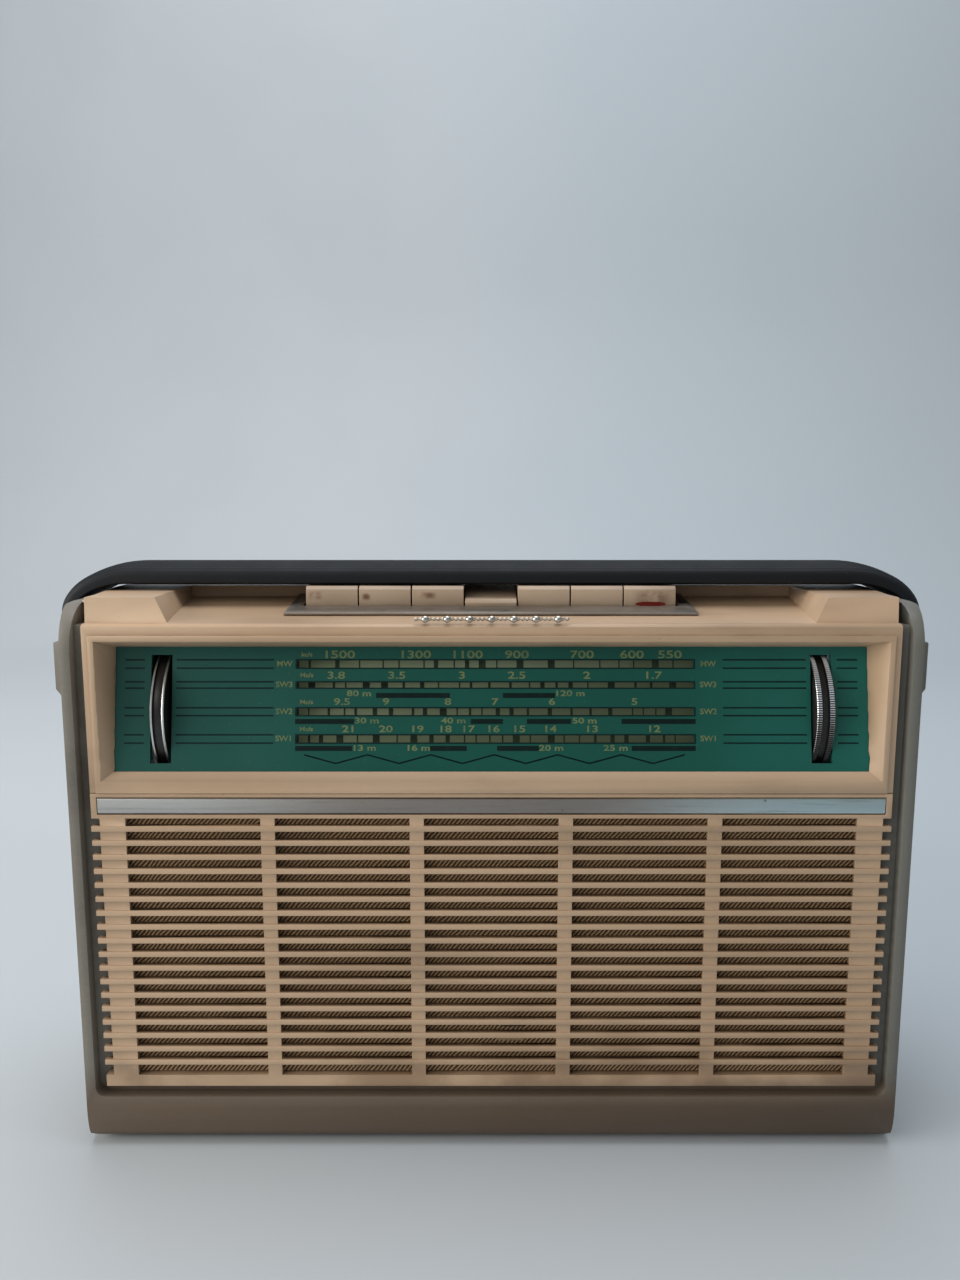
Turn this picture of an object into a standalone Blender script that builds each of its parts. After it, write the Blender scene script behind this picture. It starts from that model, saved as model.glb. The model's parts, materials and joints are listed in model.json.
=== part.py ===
"""Portable transistor radio with piano keys, two thumbwheels and a carrying strap.

Units are metres. The origin is the middle of the footprint, on the surface the radio stands on.
+X is to the right of someone facing the dial, the dial faces -Y, and +Z is up.
"""

import math

import bmesh
import bpy
from mathutils import Matrix, Vector

X, Y, Z = 0, 1, 2

# Overall sizes of the case
CASE_WIDTH = 0.312
CASE_DEPTH = 0.092
CASE_HEIGHT = 0.214
GAP = 0.0003

# How far the cutting tools run past the faces they cut
PAST = 0.001
FAR_PAST = 0.02

# Shell
SHELL_WALL = 0.0038
SHELL_FLOOR = 0.003
SHELL_CROWN = 0.0035
SHELL_BASE = 0.002
SHELL_TOP_DROP = 0.0025
SHELL_FRONT_ARC = 0.017
SHELL_REAR_ARC = 0.009
APRON_HEIGHT = 0.0145
APRON_DEPTH = 0.006
BOTTOM_CORNER = 0.008
TOP_EDGE_SOFTENING = 0.003
GROOVE_WIDTH = 0.0042
GROOVE_DEPTH = 0.0051
RIM_FLOOR = 0.0212
RIM_CORNER = 0.0035
FLANGE_WIDTH = 0.0092
FLANGE_THICKNESS = 0.0025
FLANGE_SILL = 0.006
FLANGE_CORNER = 0.002
LEDGE_DROP = 0.0101
LEDGE_THICKNESS = 0.002
LEDGE_BACK_SPACE = 0.002
FOOT_RADIUS = 0.006
FOOT_HEIGHT = 0.0027
FOOT_CLEARANCE = 0.0004
FOOT_CHAMFER = 0.0006
FOOT_INSET_X = 0.036
FOOT_INSET_Y = 0.018

# Bezel moulding
BEZEL_HEIGHT = 0.0719
LEDGE_DEPTH = 0.005
LEDGE_ROUNDING = 0.003
BEZEL_LEDGE_DROP = 0.0092
FLOOR_SLOPE = 0.106
FLOOR_LENGTH = 0.052
RECESS_END = 0.030
RECESS_LEAN = 0.0045
RECESS_OVERLAP = 0.0005
BLOCK_LEAN = 0.0008
BEZEL_BACK_GAP = 0.0006
WING_CLEARANCE = 0.0004
WING_SLOPE_WIDTH = 0.0055
WING_OVERLAP = 0.004
WING_FRONT_SETBACK = 0.008
WING_SIDE_INSET = 0.0028
BORDER_SIDE = 0.0024
BORDER_TOP = 0.0041
BORDER_STEP = 0.0008
WINDOW_SIDE = 0.0044
WINDOW_DROP = 0.0154
WINDOW_RISE = 0.0045
REVEAL_SIDE = 0.004
REVEAL_TOP = 0.0037
REVEAL_BOTTOM = 0.003
REVEAL_TOP_DEPTH = 0.012
REVEAL_BOTTOM_DEPTH = 0.003
FRONT_WALL = 0.004
TOP_PLATE = 0.0022
FLOOR_PLATE = 0.0028
SKIRT_WALL = 0.0034
COVER_POST_X = 0.038
COVER_POST_SIZE = 0.009
COVER_POST_SPACE = 0.0006

# Grille moulding
GRILLE_BOTTOM = 0.0253
GRILLE_BOTTOM_BAR = 0.0046
GRILLE_TOP_BAR = 0.00945
GRILLE_DEPTH = 0.0048
SLAT_PITCH = 0.00547
SLAT_HEIGHT = 0.002
SLAT_DEPTH = 0.0027
SLAT_PROUD = 0.0006
FIRST_SLAT_DROP = 0.01362
RIB_WIDTH = 0.0053
RIB_COUNT = 4
RIB_BACK_STEP = 0.0001
OUTER_RIB_WIDTH = 0.0095
COMB_LENGTH = 0.003
TRIM_HEIGHT = 0.006
TRIM_DROP = 0.002
TRIM_END = 0.0025
TRIM_THICKNESS = 0.0012
TRIM_RECESS = 0.0014
TRIM_BEVEL = 0.0004
CLOTH_THICKNESS = 0.0007
BAFFLE_THICKNESS = 0.003
BAFFLE_HOLE_MARGIN = 0.002
BAFFLE_SIDE_CLEARANCE = 0.0015

# Dial
GLASS_THICKNESS = 0.0018
GLASS_MARGIN = 0.0025
GLASS_SEAT_SPACE = 0.0006
POINTER_SPACE = 0.0028
POINTER_WIDTH = 0.0008
POINTER_DEPTH = 0.001
POINTER_CLEARANCE = 0.0007
POINTER_REST = -0.0725
POINTER_RAIL_RADIUS = 0.001
POINTER_RAIL_CLEARANCE = 0.0003
POINTER_RAIL_DEPTH = 0.006
POINTER_RAIL_RISE = 0.0045
CARRIAGE_WIDTH = 0.006
CARRIAGE_BACK = 0.0085
POINTER_STEP = 0.0002
RAIL_SLIDER_RISE = 0.0015
RAIL_END = 0.003
DIAL_PLATE_HALF = 0.098
DIAL_PLATE_THICKNESS = 0.001

# Thumbwheels
WHEEL_RADIUS = 0.026
WHEEL_PROUD = 0.0059
WHEEL_INSET = 0.0255
TUNING_WHEEL_WIDTH = 0.0065
VOLUME_WHEEL_WIDTH = 0.0051
SHAFT_RADIUS = 0.003
SHAFT_CLEARANCE = 0.0003
WHEEL_SLOT_WIDTH = 0.0078
WHEEL_SLOT_CLEARANCE = 0.0016
WHEEL_WELL_CLEARANCE = 0.002
WHEEL_RIM_STEP = 0.0005
WHEEL_HUB = 0.0015
BRACKET_THICKNESS = 0.002
BRACKET_OFFSET = 0.008
BRACKET_MARGIN = 0.0035
BRACKET_DROP = 0.016
TUNING_SHAFT_REACH = 0.0135
DRUM_RADIUS = 0.0155
DRUM_WIDTH = 0.005
DRUM_OFFSET = 0.0045
POT_RADIUS = 0.011
POT_LENGTH = 0.010

# Keys
KEY_COUNT = 7
KEY_PITCH = 0.0205
KEY_GAP = 0.0006
KEY_SETBACK = 0.0294
KEY_RISE = 0.0019
KEY_CAP_LENGTH = 0.0261
KEY_PIVOT_LENGTH = 0.0306
KEY_PIVOT_DROP = 0.0055
KEY_BOSS_RADIUS = 0.0026
KEY_ROD_RADIUS = 0.0015
KEY_ROD_CLEARANCE = 0.0003
KEY_SKIRT = 0.0109
KEY_SKIRT_THICKNESS = 0.0018
KEY_ARM_DROP = 0.003
KEY_BACK_CHAMFER = 0.0008
KEY_CAP_THICKNESS = 0.0059
KEY_CHAMFER = 0.0013
KEY_TRAVEL = math.radians(9.5)
LATCHED_KEY = 4
KEY_FRONT_CLEARANCE = 0.0011
KEY_SIDE_CLEARANCE = 0.0008
KEY_PLATE_MARGIN = 0.006
KEY_PLATE_FRONT = 0.016
KEY_PLATE_THICKNESS = 0.0008
BADGE_ANGLE = math.radians(15)
BADGE_LENGTH = 0.056
SWITCH_LUG = 0.0025
LUG_STEP = 0.0001
LUG_MARGIN = 0.003
SWITCH_DROP = 0.0145
SWITCH_HEIGHT = 0.022
SWITCH_SETBACK = 0.0036
BEAD_COUNT = 7
BEAD_RADIUS = 0.0016
BADGE_BAR_RADIUS = 0.0006

# Loudspeaker
SPEAKER_RADIUS = 0.051
SPEAKER_INSET = 0.070
CONE_RADIUS = 0.0442
MAGNET_RADIUS = 0.020
SPEAKER_DEPTH = 0.0276
MAGNET_DEPTH = 0.0147
COIL_RADIUS = 0.011
CONE_TRAVEL = 0.001
BASKET_SHEET = 0.0016
BASKET_NECK = 0.025
CONE_CLEARANCE = 0.0006
CONE_SHEET = 0.001
CONE_NECK_DEPTH = 0.008
MAGNET_CHAMFER = 0.001

# Battery compartment
CELL_RADIUS = 0.0166
CELL_LENGTH = 0.061
CELL_ROWS = 3
CELL_CLEARANCE = 0.0009
HOLDER_WALL = 0.002
HOLDER_END_INSET = 0.018
HOLDER_BACK_SPACE = 0.0042
HOLDER_SPARE_DEPTH = 0.002
CONTACT_SPACE = 0.0045
CONTACT_THICKNESS = 0.0008
CONTACT_HALF_WIDTH = 0.006
CONTACT_END_SPACE = 0.008
CONTACT_PAD_RADIUS = 0.005
CELL_CAP_RADIUS = 0.0048
CELL_CAP_LENGTH = 0.0015
CELL_ROUNDING = 0.001
HOLDER_LEG = 0.010

# Chassis
BOARD_THICKNESS = 0.0016
BOARD_SETBACK = 0.058
BOARD_END_INSET = 0.010
BOARD_TOP_DROP = 0.024
ROD_RADIUS = 0.005
ROD_LENGTH = 0.184
ROD_CLEARANCE = 0.0003
ROD_BRACKET_WIDTH = 0.006
ROD_BRACKET_INSET = 0.010
ROD_BRACKET_LAP = 0.006
ROD_BRACKET_WALL = 0.0012
ROD_DEPTH = 0.0134
ROD_DROP = 0.015
COIL_SPAN = (-0.052, -0.028)
COIL_THICKNESS = 0.002
CAN_PLACES = (-0.017, 0.009)
CAN_HALF = 0.005
CAN_DEPTH = 0.017
TRANSFORMER_SPAN = (-0.070, -0.044)
TRANSFORMER_HALF = 0.010
TRANSFORMER_DEPTH = 0.019
VANE_RADIUS = 0.0115
VANE_THICKNESS = 0.0008
VANE_PITCH = 0.004
VANE_COUNT = 5
CAPACITOR_LENGTH = 0.030
CAPACITOR_HEIGHT = 0.030
CAPACITOR_INSET = 0.0375
CAPACITOR_DEPTH = 0.0154
CAPACITOR_RISE = 0.020
CAPACITOR_SHEET = 0.0015
CAPACITOR_SHAFT_ENDS = 0.003
CAPACITOR_BAR_THICKNESS = 0.0015
CAPACITOR_REACH = 0.006
CAPACITOR_SHAFT = 0.002
CAPACITOR_BAR_HALF = 0.003

# Back cover
COVER_THICKNESS = 0.0026
COVER_CLEARANCE = 0.0006
COVER_RECESS = 0.0022
COVER_SLOT_COUNT = 9
COVER_SLOT_WIDTH = 0.060
COVER_SLOT_HEIGHT = 0.003
COVER_SLOT_PITCH = 0.009
SCREW_RADIUS = 0.0015
SCREW_HEAD_RADIUS = 0.005
SCREW_LENGTH = 0.009
SCREW_CLEARANCE = 0.0009
SCREW_HEAD_HEIGHT = 0.0016
SCREW_SLOT_WIDTH = 0.0012
SCREW_SLOT_DEPTH = 0.0007
SCREW_TIP = 0.0006
COVER_CORNER = 0.004
COVER_TOP_CORNER = 0.006
COVER_LOWER_EDGE = 0.0016
COVER_PIVOT_RISE = 0.0026
SCREW_DROP = 0.011

# Carrying strap
STRAP_WIDTH = 0.030
STRAP_CLEARANCE = 0.0004
STRAP_THICKNESS = 0.0085
STRAP_SIDE_THICKNESS = 0.0053
STRAP_CORNER_X = 0.0305
STRAP_CORNER_Z = 0.020
STRAP_SIDE_GAP = 0.0034
GUIDE_TOP_DROP = 0.020
GUIDE_HEIGHT = 0.030
GUIDE_WALL = 0.0017
GUIDE_POCKET = 0.017
GUIDE_CLEARANCE = 0.0006
STRAP_END_CLEARANCE = 0.002
GUIDE_SIDE_WALL = 0.0016
GUIDE_FOOT = 0.002

# Places worked out from the sizes above
HALF = CASE_WIDTH / 2
FRONT = -CASE_DEPTH / 2
BACK = CASE_DEPTH / 2
PANEL_HALF = HALF - SHELL_WALL - GROOVE_WIDTH
COVER_FRONT = BACK - COVER_RECESS - COVER_THICKNESS
BEZEL_BACK = COVER_FRONT - BEZEL_BACK_GAP
SHELL_TOP = CASE_HEIGHT - SHELL_TOP_DROP
SHELL_SIDE = HALF + SHELL_CROWN
FLANGE_FRONT = FRONT + GROOVE_DEPTH
FLANGE_BACK = FLANGE_FRONT + FLANGE_THICKNESS
FLANGE_HALF = HALF - SHELL_WALL - FLANGE_WIDTH
LEDGE_TOP = CASE_HEIGHT - LEDGE_DROP
SEAM = CASE_HEIGHT - BEZEL_HEIGHT
BEZEL_LEDGE = CASE_HEIGHT - BEZEL_LEDGE_DROP
LEDGE_ARC_CENTRE = (FRONT + LEDGE_ROUNDING, BEZEL_LEDGE - LEDGE_ROUNDING)
WINDOW_HALF = PANEL_HALF - WINDOW_SIDE
WINDOW_TOP = CASE_HEIGHT - WINDOW_DROP
WINDOW_BOTTOM = SEAM + WINDOW_RISE
GLASS_TOP = Vector((0, FRONT + REVEAL_TOP_DEPTH, WINDOW_TOP - REVEAL_TOP))
GLASS_BOTTOM = Vector((0, FRONT + REVEAL_BOTTOM_DEPTH, WINDOW_BOTTOM + REVEAL_BOTTOM))
GLASS_HALF = WINDOW_HALF - REVEAL_SIDE
GLASS_TILT = -math.atan2(GLASS_TOP.y - GLASS_BOTTOM.y, GLASS_TOP.z - GLASS_BOTTOM.z)
GLASS_RISE = (GLASS_TOP - GLASS_BOTTOM).length / 2
DIAL_FRAME = Matrix.Translation((GLASS_TOP + GLASS_BOTTOM) / 2) @ Matrix.Rotation(GLASS_TILT, 4, "X")
WHEEL_CENTRE = DIAL_FRAME @ Vector((0, GAP + WHEEL_RADIUS - WHEEL_PROUD, 0))
WHEEL_X = PANEL_HALF - WHEEL_INSET
RAIL_IN_DIAL = Vector((0, POINTER_RAIL_DEPTH, GLASS_RISE + POINTER_RAIL_RISE))
RAIL_CENTRE = DIAL_FRAME @ RAIL_IN_DIAL
POINTER_BACK = GAP + GLASS_THICKNESS + POINTER_SPACE
FLOOR_END = FRONT + FLOOR_LENGTH
STEP_BACK = FLOOR_END + TOP_PLATE
KEY_FRONT = FRONT + KEY_SETBACK
KEY_TOP = CASE_HEIGHT + KEY_RISE
KEY_ROW = KEY_COUNT * KEY_PITCH
KEY_PIVOT = (KEY_FRONT + KEY_PIVOT_LENGTH, CASE_HEIGHT - KEY_PIVOT_DROP)
KEY_BACK = KEY_FRONT + KEY_CAP_LENGTH
CLOTH_FRONT = FRONT + SLAT_DEPTH + GAP
CLOTH_BOTTOM = GRILLE_BOTTOM + GRILLE_BOTTOM_BAR + GAP
CLOTH_TOP = SEAM - GRILLE_TOP_BAR - 2 * GAP
BAFFLE_FRONT = CLOTH_FRONT + CLOTH_THICKNESS + GAP
BAFFLE_BACK = BAFFLE_FRONT + BAFFLE_THICKNESS
BAFFLE_HALF = FLANGE_HALF - BAFFLE_SIDE_CLEARANCE
SPEAKER_X = -PANEL_HALF + SPEAKER_INSET
SPEAKER_Z = (CLOTH_BOTTOM + CLOTH_TOP) / 2
BOARD_FRONT = FRONT + BOARD_SETBACK
BOARD_BACK = BOARD_FRONT + BOARD_THICKNESS
ROW_PITCH = 2 * (CELL_RADIUS + CELL_CLEARANCE)
HOLDER_RIGHT = PANEL_HALF - HOLDER_END_INSET
HOLDER_INSIDE = 2 * CELL_LENGTH + 2 * CONTACT_SPACE + GAP
HOLDER_LEFT = HOLDER_RIGHT - HOLDER_INSIDE - 2 * HOLDER_WALL
HOLDER_BOTTOM = SHELL_BASE + SHELL_FLOOR + GAP
HOLDER_BAY = GRILLE_BOTTOM
HOLDER_TOP = HOLDER_BAY + CELL_ROWS * ROW_PITCH + HOLDER_WALL
HOLDER_BACK = COVER_FRONT - HOLDER_BACK_SPACE
HOLDER_FRONT = HOLDER_BACK - ROW_PITCH - HOLDER_WALL - HOLDER_SPARE_DEPTH
BOARD_BOTTOM = HOLDER_TOP + GAP
BOARD_TOP = CASE_HEIGHT - BOARD_TOP_DROP
ROD_CENTRE = (BOARD_BACK + ROD_DEPTH, CASE_HEIGHT - ROD_DROP)
CAPACITOR_X = WHEEL_X - CAPACITOR_INSET
CAPACITOR_AXIS = (BOARD_BACK + CAPACITOR_DEPTH, SEAM + CAPACITOR_RISE)
COVER_PIVOT = (COVER_FRONT + COVER_THICKNESS / 2, SHELL_BASE + SHELL_FLOOR + COVER_PIVOT_RISE)
SCREW_Z = CASE_HEIGHT - SCREW_DROP
STRAP_BOTTOM = KEY_TOP + STRAP_CLEARANCE
STRAP_TOP = STRAP_BOTTOM + STRAP_THICKNESS
STRAP_INSIDE = SHELL_SIDE + STRAP_SIDE_GAP
STRAP_OUTSIDE = STRAP_INSIDE + STRAP_SIDE_THICKNESS
GUIDE_TOP = CASE_HEIGHT - GUIDE_TOP_DROP


# Modelling tools


def material(name, colour, roughness, metallic=0.0):
    made = bpy.data.materials.new(name)
    made.use_nodes = True
    shader = made.node_tree.nodes["Principled BSDF"]
    shader.inputs["Base Color"].default_value = (*colour, 1)
    shader.inputs["Roughness"].default_value = roughness
    shader.inputs["Metallic"].default_value = metallic
    return made


def node(name, shape, finish, smooth=False):
    """Turns a bmesh into a named object and frees the bmesh."""
    bmesh.ops.recalc_face_normals(shape, faces=shape.faces)
    mesh = bpy.data.meshes.new(name)
    shape.to_mesh(mesh)
    shape.free()
    made = bpy.data.objects.new(name, mesh)
    bpy.context.scene.collection.objects.link(made)
    if finish:
        mesh.materials.append(finish)
    if smooth:
        mesh.shade_smooth()
        mesh.set_sharp_from_angle(angle=math.radians(35))
    return made


def combine(target, tool_shape, operation="DIFFERENCE"):
    """Adds a Boolean modifier with a hidden tool made from the bmesh."""
    tool = node(f"{target.name}_tool_{len(target.modifiers)}", tool_shape, None)
    tool.hide_render = True
    tool.display_type = "WIRE"
    modifier = target.modifiers.new(operation.lower(), "BOOLEAN")
    modifier.operation = operation
    modifier.object = tool


def prism(outline, axis, low, high):
    """Extrudes a closed outline along an axis. Its two numbers are along the other two axes, in order."""
    shape = bmesh.new()
    across = [other for other in (X, Y, Z) if other != axis]
    ends = []
    for level in (low, high):
        loop = []
        for point in outline:
            place = [level] * 3
            place[across[0]], place[across[1]] = point
            loop.append(shape.verts.new(place))
        ends.append(loop)
        shape.faces.new(loop)
    for index in range(len(outline)):
        nearby = (index + 1) % len(outline)
        shape.faces.new((ends[0][index], ends[0][nearby], ends[1][nearby], ends[1][index]))
    return shape


def rectangle(low_a, high_a, low_b, high_b):
    return [(low_a, low_b), (high_a, low_b), (high_a, high_b), (low_a, high_b)]


def box(low, high):
    return prism(rectangle(low[0], high[0], low[1], high[1]), Z, low[2], high[2])


def joined(shapes):
    """Puts several bmeshes that don't touch into one."""
    whole = bmesh.new()
    for shape in shapes:
        mesh = bpy.data.meshes.new("part")
        shape.to_mesh(mesh)
        shape.free()
        whole.from_mesh(mesh)
        bpy.data.meshes.remove(mesh)
    return whole


def convex(points):
    shape = bmesh.new()
    for point in points:
        shape.verts.new(point)
    bmesh.ops.convex_hull(shape, input=shape.verts)
    return shape


def arc(centre, radii, start, end, steps):
    """Points on an elliptical arc, from one angle to another in degrees."""
    points = []
    for step in range(steps + 1):
        angle = math.radians(start + (end - start) * step / steps)
        points.append((centre[0] + radii[0] * math.cos(angle), centre[1] + radii[1] * math.sin(angle)))
    return points


def turned(profile, axis, centre, segments, hollow=False):
    """Turns a profile of (place along the axis, radius) about an axis through the centre.

    A solid profile starts and ends at radius 0. A hollow one is a closed loop clear of the axis.
    """
    shape = bmesh.new()
    across = [other for other in (X, Y, Z) if other != axis]
    rings = []
    for along, radius in profile:
        ring = []
        for index in range(segments if radius > 0 else 1):
            angle = math.tau * index / segments
            place = [along] * 3
            place[across[0]] = centre[0] + radius * math.cos(angle)
            place[across[1]] = centre[1] + radius * math.sin(angle)
            ring.append(shape.verts.new(place))
        rings.append(ring)
    pairs = list(zip(rings, rings[1:]))
    if hollow:
        pairs.append((rings[-1], rings[0]))
    for first, second in pairs:
        for index in range(segments):
            nearby = (index + 1) % segments
            corners = [first[index % len(first)], first[nearby % len(first)]]
            corners += [second[nearby % len(second)], second[index % len(second)]]
            shape.faces.new(list(dict.fromkeys(corners)))
    return shape


def cylinder(axis, centre, radius, low, high, segments=16):
    return turned([(low, 0), (low, radius), (high, radius), (high, 0)], axis, centre, segments)


def tube(axis, centre, inner, outer, low, high, segments=16):
    profile = [(low, inner), (low, outer), (high, outer), (high, inner)]
    return turned(profile, axis, centre, segments, hollow=True)


def mirrored(points):
    """The points, then their mirror images in reverse order, for an outline symmetric about X = 0."""
    return points + [(-x, z) for x, z in reversed(points)]


# Finishes

GREY = material("grey shell plastic", (0.20, 0.185, 0.165), 0.45)
BEIGE = material("beige plastic", (0.60, 0.45, 0.30), 0.4)
BRUSHED = material("brushed aluminium", (0.62, 0.63, 0.63), 0.35, 1.0)
CHROME = material("chrome", (0.7, 0.7, 0.7), 0.12, 1.0)
STEEL = material("plated steel", (0.55, 0.55, 0.56), 0.35, 1.0)
CLOTH = material("grille cloth", (0.14, 0.09, 0.05), 0.9)
HARDBOARD = material("hardboard", (0.16, 0.09, 0.05), 0.85)
DIAL_GREEN = material("dial glass", (0.02, 0.14, 0.10), 0.1)
DIAL_BACK = material("dial backing", (0.30, 0.29, 0.20), 0.6)
BLACK = material("black plastic", (0.02, 0.02, 0.02), 0.4)
STRAP = material("strap", (0.03, 0.035, 0.045), 0.5)
PAPER = material("cone paper", (0.05, 0.045, 0.04), 0.9)
BOARD = material("circuit board", (0.35, 0.20, 0.08), 0.5)
FERRITE = material("ferrite", (0.04, 0.04, 0.04), 0.6)
CELL = material("cell jacket", (0.10, 0.14, 0.35), 0.4)
RUBBER = material("rubber", (0.03, 0.03, 0.03), 0.85)


# Outlines that several pieces share


def floor_height(y):
    """Height of the floor, which slopes up towards the keys from the back of the front ledge."""
    return BEZEL_LEDGE + FLOOR_SLOPE * (y - FRONT - LEDGE_DEPTH)


def plan_outline(steps=8):
    """The case seen from above, its sides bowed outwards by the crown."""
    side = []
    for step in range(steps + 1):
        y = FRONT + CASE_DEPTH * step / steps
        side.append((HALF + SHELL_CROWN * (1 - (y / BACK) ** 2), y))
    return mirrored(side)


def side_outline():
    """The shell seen from the side: rounded top front corner and an apron tucked under at the front."""
    points = arc((FRONT + SHELL_FRONT_ARC, SHELL_TOP - SHELL_FRONT_ARC), [SHELL_FRONT_ARC] * 2, 90, 180, 7)
    apron = SHELL_BASE + APRON_HEIGHT
    points += arc((FRONT + APRON_DEPTH, apron), (APRON_DEPTH, APRON_HEIGHT), 180, 270, 6)
    points += arc((BACK - APRON_DEPTH, SHELL_BASE + APRON_DEPTH), [APRON_DEPTH] * 2, 270, 360, 4)
    points += arc((BACK - SHELL_REAR_ARC, SHELL_TOP - SHELL_REAR_ARC), [SHELL_REAR_ARC] * 2, 0, 90, 5)
    return points


def open_top_outline(half, bottom, corner, top):
    """A tall opening with rounded bottom corners, seen from the front."""
    corner_arc = arc((half - corner, bottom + corner), [corner] * 2, 270, 360, 4)
    return mirrored(corner_arc + [(half, top)])


def rounded_case_outline():
    """The shell seen from the front: rounded bottom corners, and softened edges where the strap passes."""
    corner = arc((SHELL_SIDE - BOTTOM_CORNER, SHELL_BASE + BOTTOM_CORNER), [BOTTOM_CORNER] * 2, 270, 360, 4)
    soft = TOP_EDGE_SOFTENING
    top = [
        (SHELL_SIDE, SHELL_TOP - soft),
        (SHELL_SIDE - soft * 0.6, SHELL_TOP - soft * 0.3),
        (SHELL_SIDE - soft * 1.2, SHELL_TOP + PAST),
    ]
    return mirrored(corner + top)


def foot_places():
    half_x = HALF - FOOT_INSET_X
    half_y = BACK - FOOT_INSET_Y
    return [(x, y) for x in (-half_x, half_x) for y in (-half_y, half_y)]


# Case


def case_shell():
    above = CASE_HEIGHT + FAR_PAST
    end = SHELL_SIDE + FAR_PAST
    front, back = FRONT - FAR_PAST, BACK + FAR_PAST
    inside = HALF - SHELL_WALL
    shell = node("case_shell", prism(side_outline(), X, -end, end), GREY)
    combine(shell, prism(plan_outline(), Z, -FAR_PAST, above), "INTERSECT")
    combine(shell, prism(rounded_case_outline(), Y, front, back), "INTERSECT")
    rim = open_top_outline(inside, RIM_FLOOR, RIM_CORNER, above)
    combine(shell, prism(rim, Y, front, FLANGE_FRONT))
    window = open_top_outline(FLANGE_HALF, RIM_FLOOR + FLANGE_SILL, FLANGE_CORNER, above)
    combine(shell, prism(window, Y, FLANGE_FRONT - PAST, FLANGE_BACK + PAST))
    combine(shell, box((-inside, FLANGE_BACK, SHELL_BASE + SHELL_FLOOR), (inside, back, above)))
    combine(shell, box((-inside, FLANGE_FRONT - PAST, LEDGE_TOP), (inside, FLANGE_BACK + PAST, above)))
    ledges = []
    for side in (-1, 1):
        ends = sorted((side * (PANEL_HALF - SKIRT_WALL), side * (HALF - SHELL_WALL / 2)))
        low = (ends[0], FLANGE_BACK - PAST, LEDGE_TOP - LEDGE_THICKNESS)
        ledges.append(box(low, (ends[1], COVER_FRONT - LEDGE_BACK_SPACE, LEDGE_TOP)))
    combine(shell, joined(ledges), "UNION")
    pocket_radius = FOOT_RADIUS + FOOT_CLEARANCE
    pockets = [cylinder(Z, place, pocket_radius, -PAST, FOOT_HEIGHT + GAP) for place in foot_places()]
    combine(shell, joined(pockets))


def feet():
    for number, place in enumerate(foot_places(), 1):
        rim = FOOT_RADIUS - FOOT_CHAMFER
        profile = [(0, 0), (0, rim), (FOOT_CHAMFER, FOOT_RADIUS)]
        profile += [(FOOT_HEIGHT, FOOT_RADIUS), (FOOT_HEIGHT, 0)]
        node(f"foot_{number}", turned(profile, Z, place, 16), RUBBER, smooth=True)


def bezel_envelope():
    """Side outline of the bezel moulding before it is hollowed."""
    return [
        (FRONT, SEAM),
        *arc(LEDGE_ARC_CENTRE, [LEDGE_ROUNDING] * 2, 180, 90, 5),
        (FRONT + LEDGE_DEPTH, BEZEL_LEDGE),
        (FRONT + LEDGE_DEPTH + BLOCK_LEAN, CASE_HEIGHT),
        (BEZEL_BACK, CASE_HEIGHT),
        (BEZEL_BACK, SEAM),
    ]


def bezel_inside():
    """Side outline of the hollow behind the front wall, the glass, the sloping floor and the top plate."""
    wall_back = FRONT + FRONT_WALL
    seat_low = GLASS_BOTTOM.z - GLASS_MARGIN
    seat_high = GLASS_TOP.z + GLASS_MARGIN + BLOCK_LEAN
    lean = (GLASS_TOP.y - GLASS_BOTTOM.y) / (GLASS_TOP.z - GLASS_BOTTOM.z)
    seat_low_y = GLASS_BOTTOM.y + lean * (seat_low - GLASS_BOTTOM.z)
    seat_high_y = GLASS_BOTTOM.y + lean * (seat_high - GLASS_BOTTOM.z)
    return [
        (wall_back, SEAM - PAST),
        (wall_back, seat_low),
        (seat_low_y, seat_low),
        (seat_high_y, seat_high),
        (seat_high_y, floor_height(seat_high_y) - FLOOR_PLATE),
        (STEP_BACK, floor_height(FLOOR_END) - FLOOR_PLATE),
        (STEP_BACK, CASE_HEIGHT - TOP_PLATE),
        (BACK + FAR_PAST, CASE_HEIGHT - TOP_PLATE),
        (BACK + FAR_PAST, SEAM - PAST),
    ]


def window_cutter(strips=6):
    """The dial window, carried a little past its front and back so that the cut is clean.

    Its upright sides twist, so they are ruled in strips from the front edge to the edge of the glass.
    """
    shape = bmesh.new()
    loops = []
    for past in (-0.25, 1.25):
        half = WINDOW_HALF + (GLASS_HALF - WINDOW_HALF) * past
        low = Vector((half, FRONT + REVEAL_BOTTOM_DEPTH * past, WINDOW_BOTTOM + REVEAL_BOTTOM * past))
        high = Vector((half, FRONT + REVEAL_TOP_DEPTH * past, WINDOW_TOP - REVEAL_TOP * past))
        right = [low.lerp(high, step / strips) for step in range(strips + 1)]
        left = [Vector((-point.x, point.y, point.z)) for point in reversed(right)]
        loops.append([shape.verts.new(point) for point in right + left])
    for loop in loops:
        shape.faces.new(loop)
    for index in range(len(loops[0])):
        nearby = (index + 1) % len(loops[0])
        shape.faces.new((loops[0][index], loops[0][nearby], loops[1][nearby], loops[1][index]))
    return shape


def recess_points():
    """Corners of the space above the sloping floor, between the two end blocks."""
    foot = PANEL_HALF - RECESS_END
    top = foot + RECESS_LEAN
    points = []
    for side in (-1, 1):
        for y, x in ((FRONT + LEDGE_DEPTH - RECESS_OVERLAP, foot), (FLOOR_END, top - 2 * GAP)):
            points.append((side * x, y, floor_height(y)))
            points.append((side * (top + (top - x) * 0.4), y, CASE_HEIGHT + 0.004))
    return points


def cover_posts():
    return [side * (PANEL_HALF - COVER_POST_X) for side in (-1, 1)]


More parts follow.
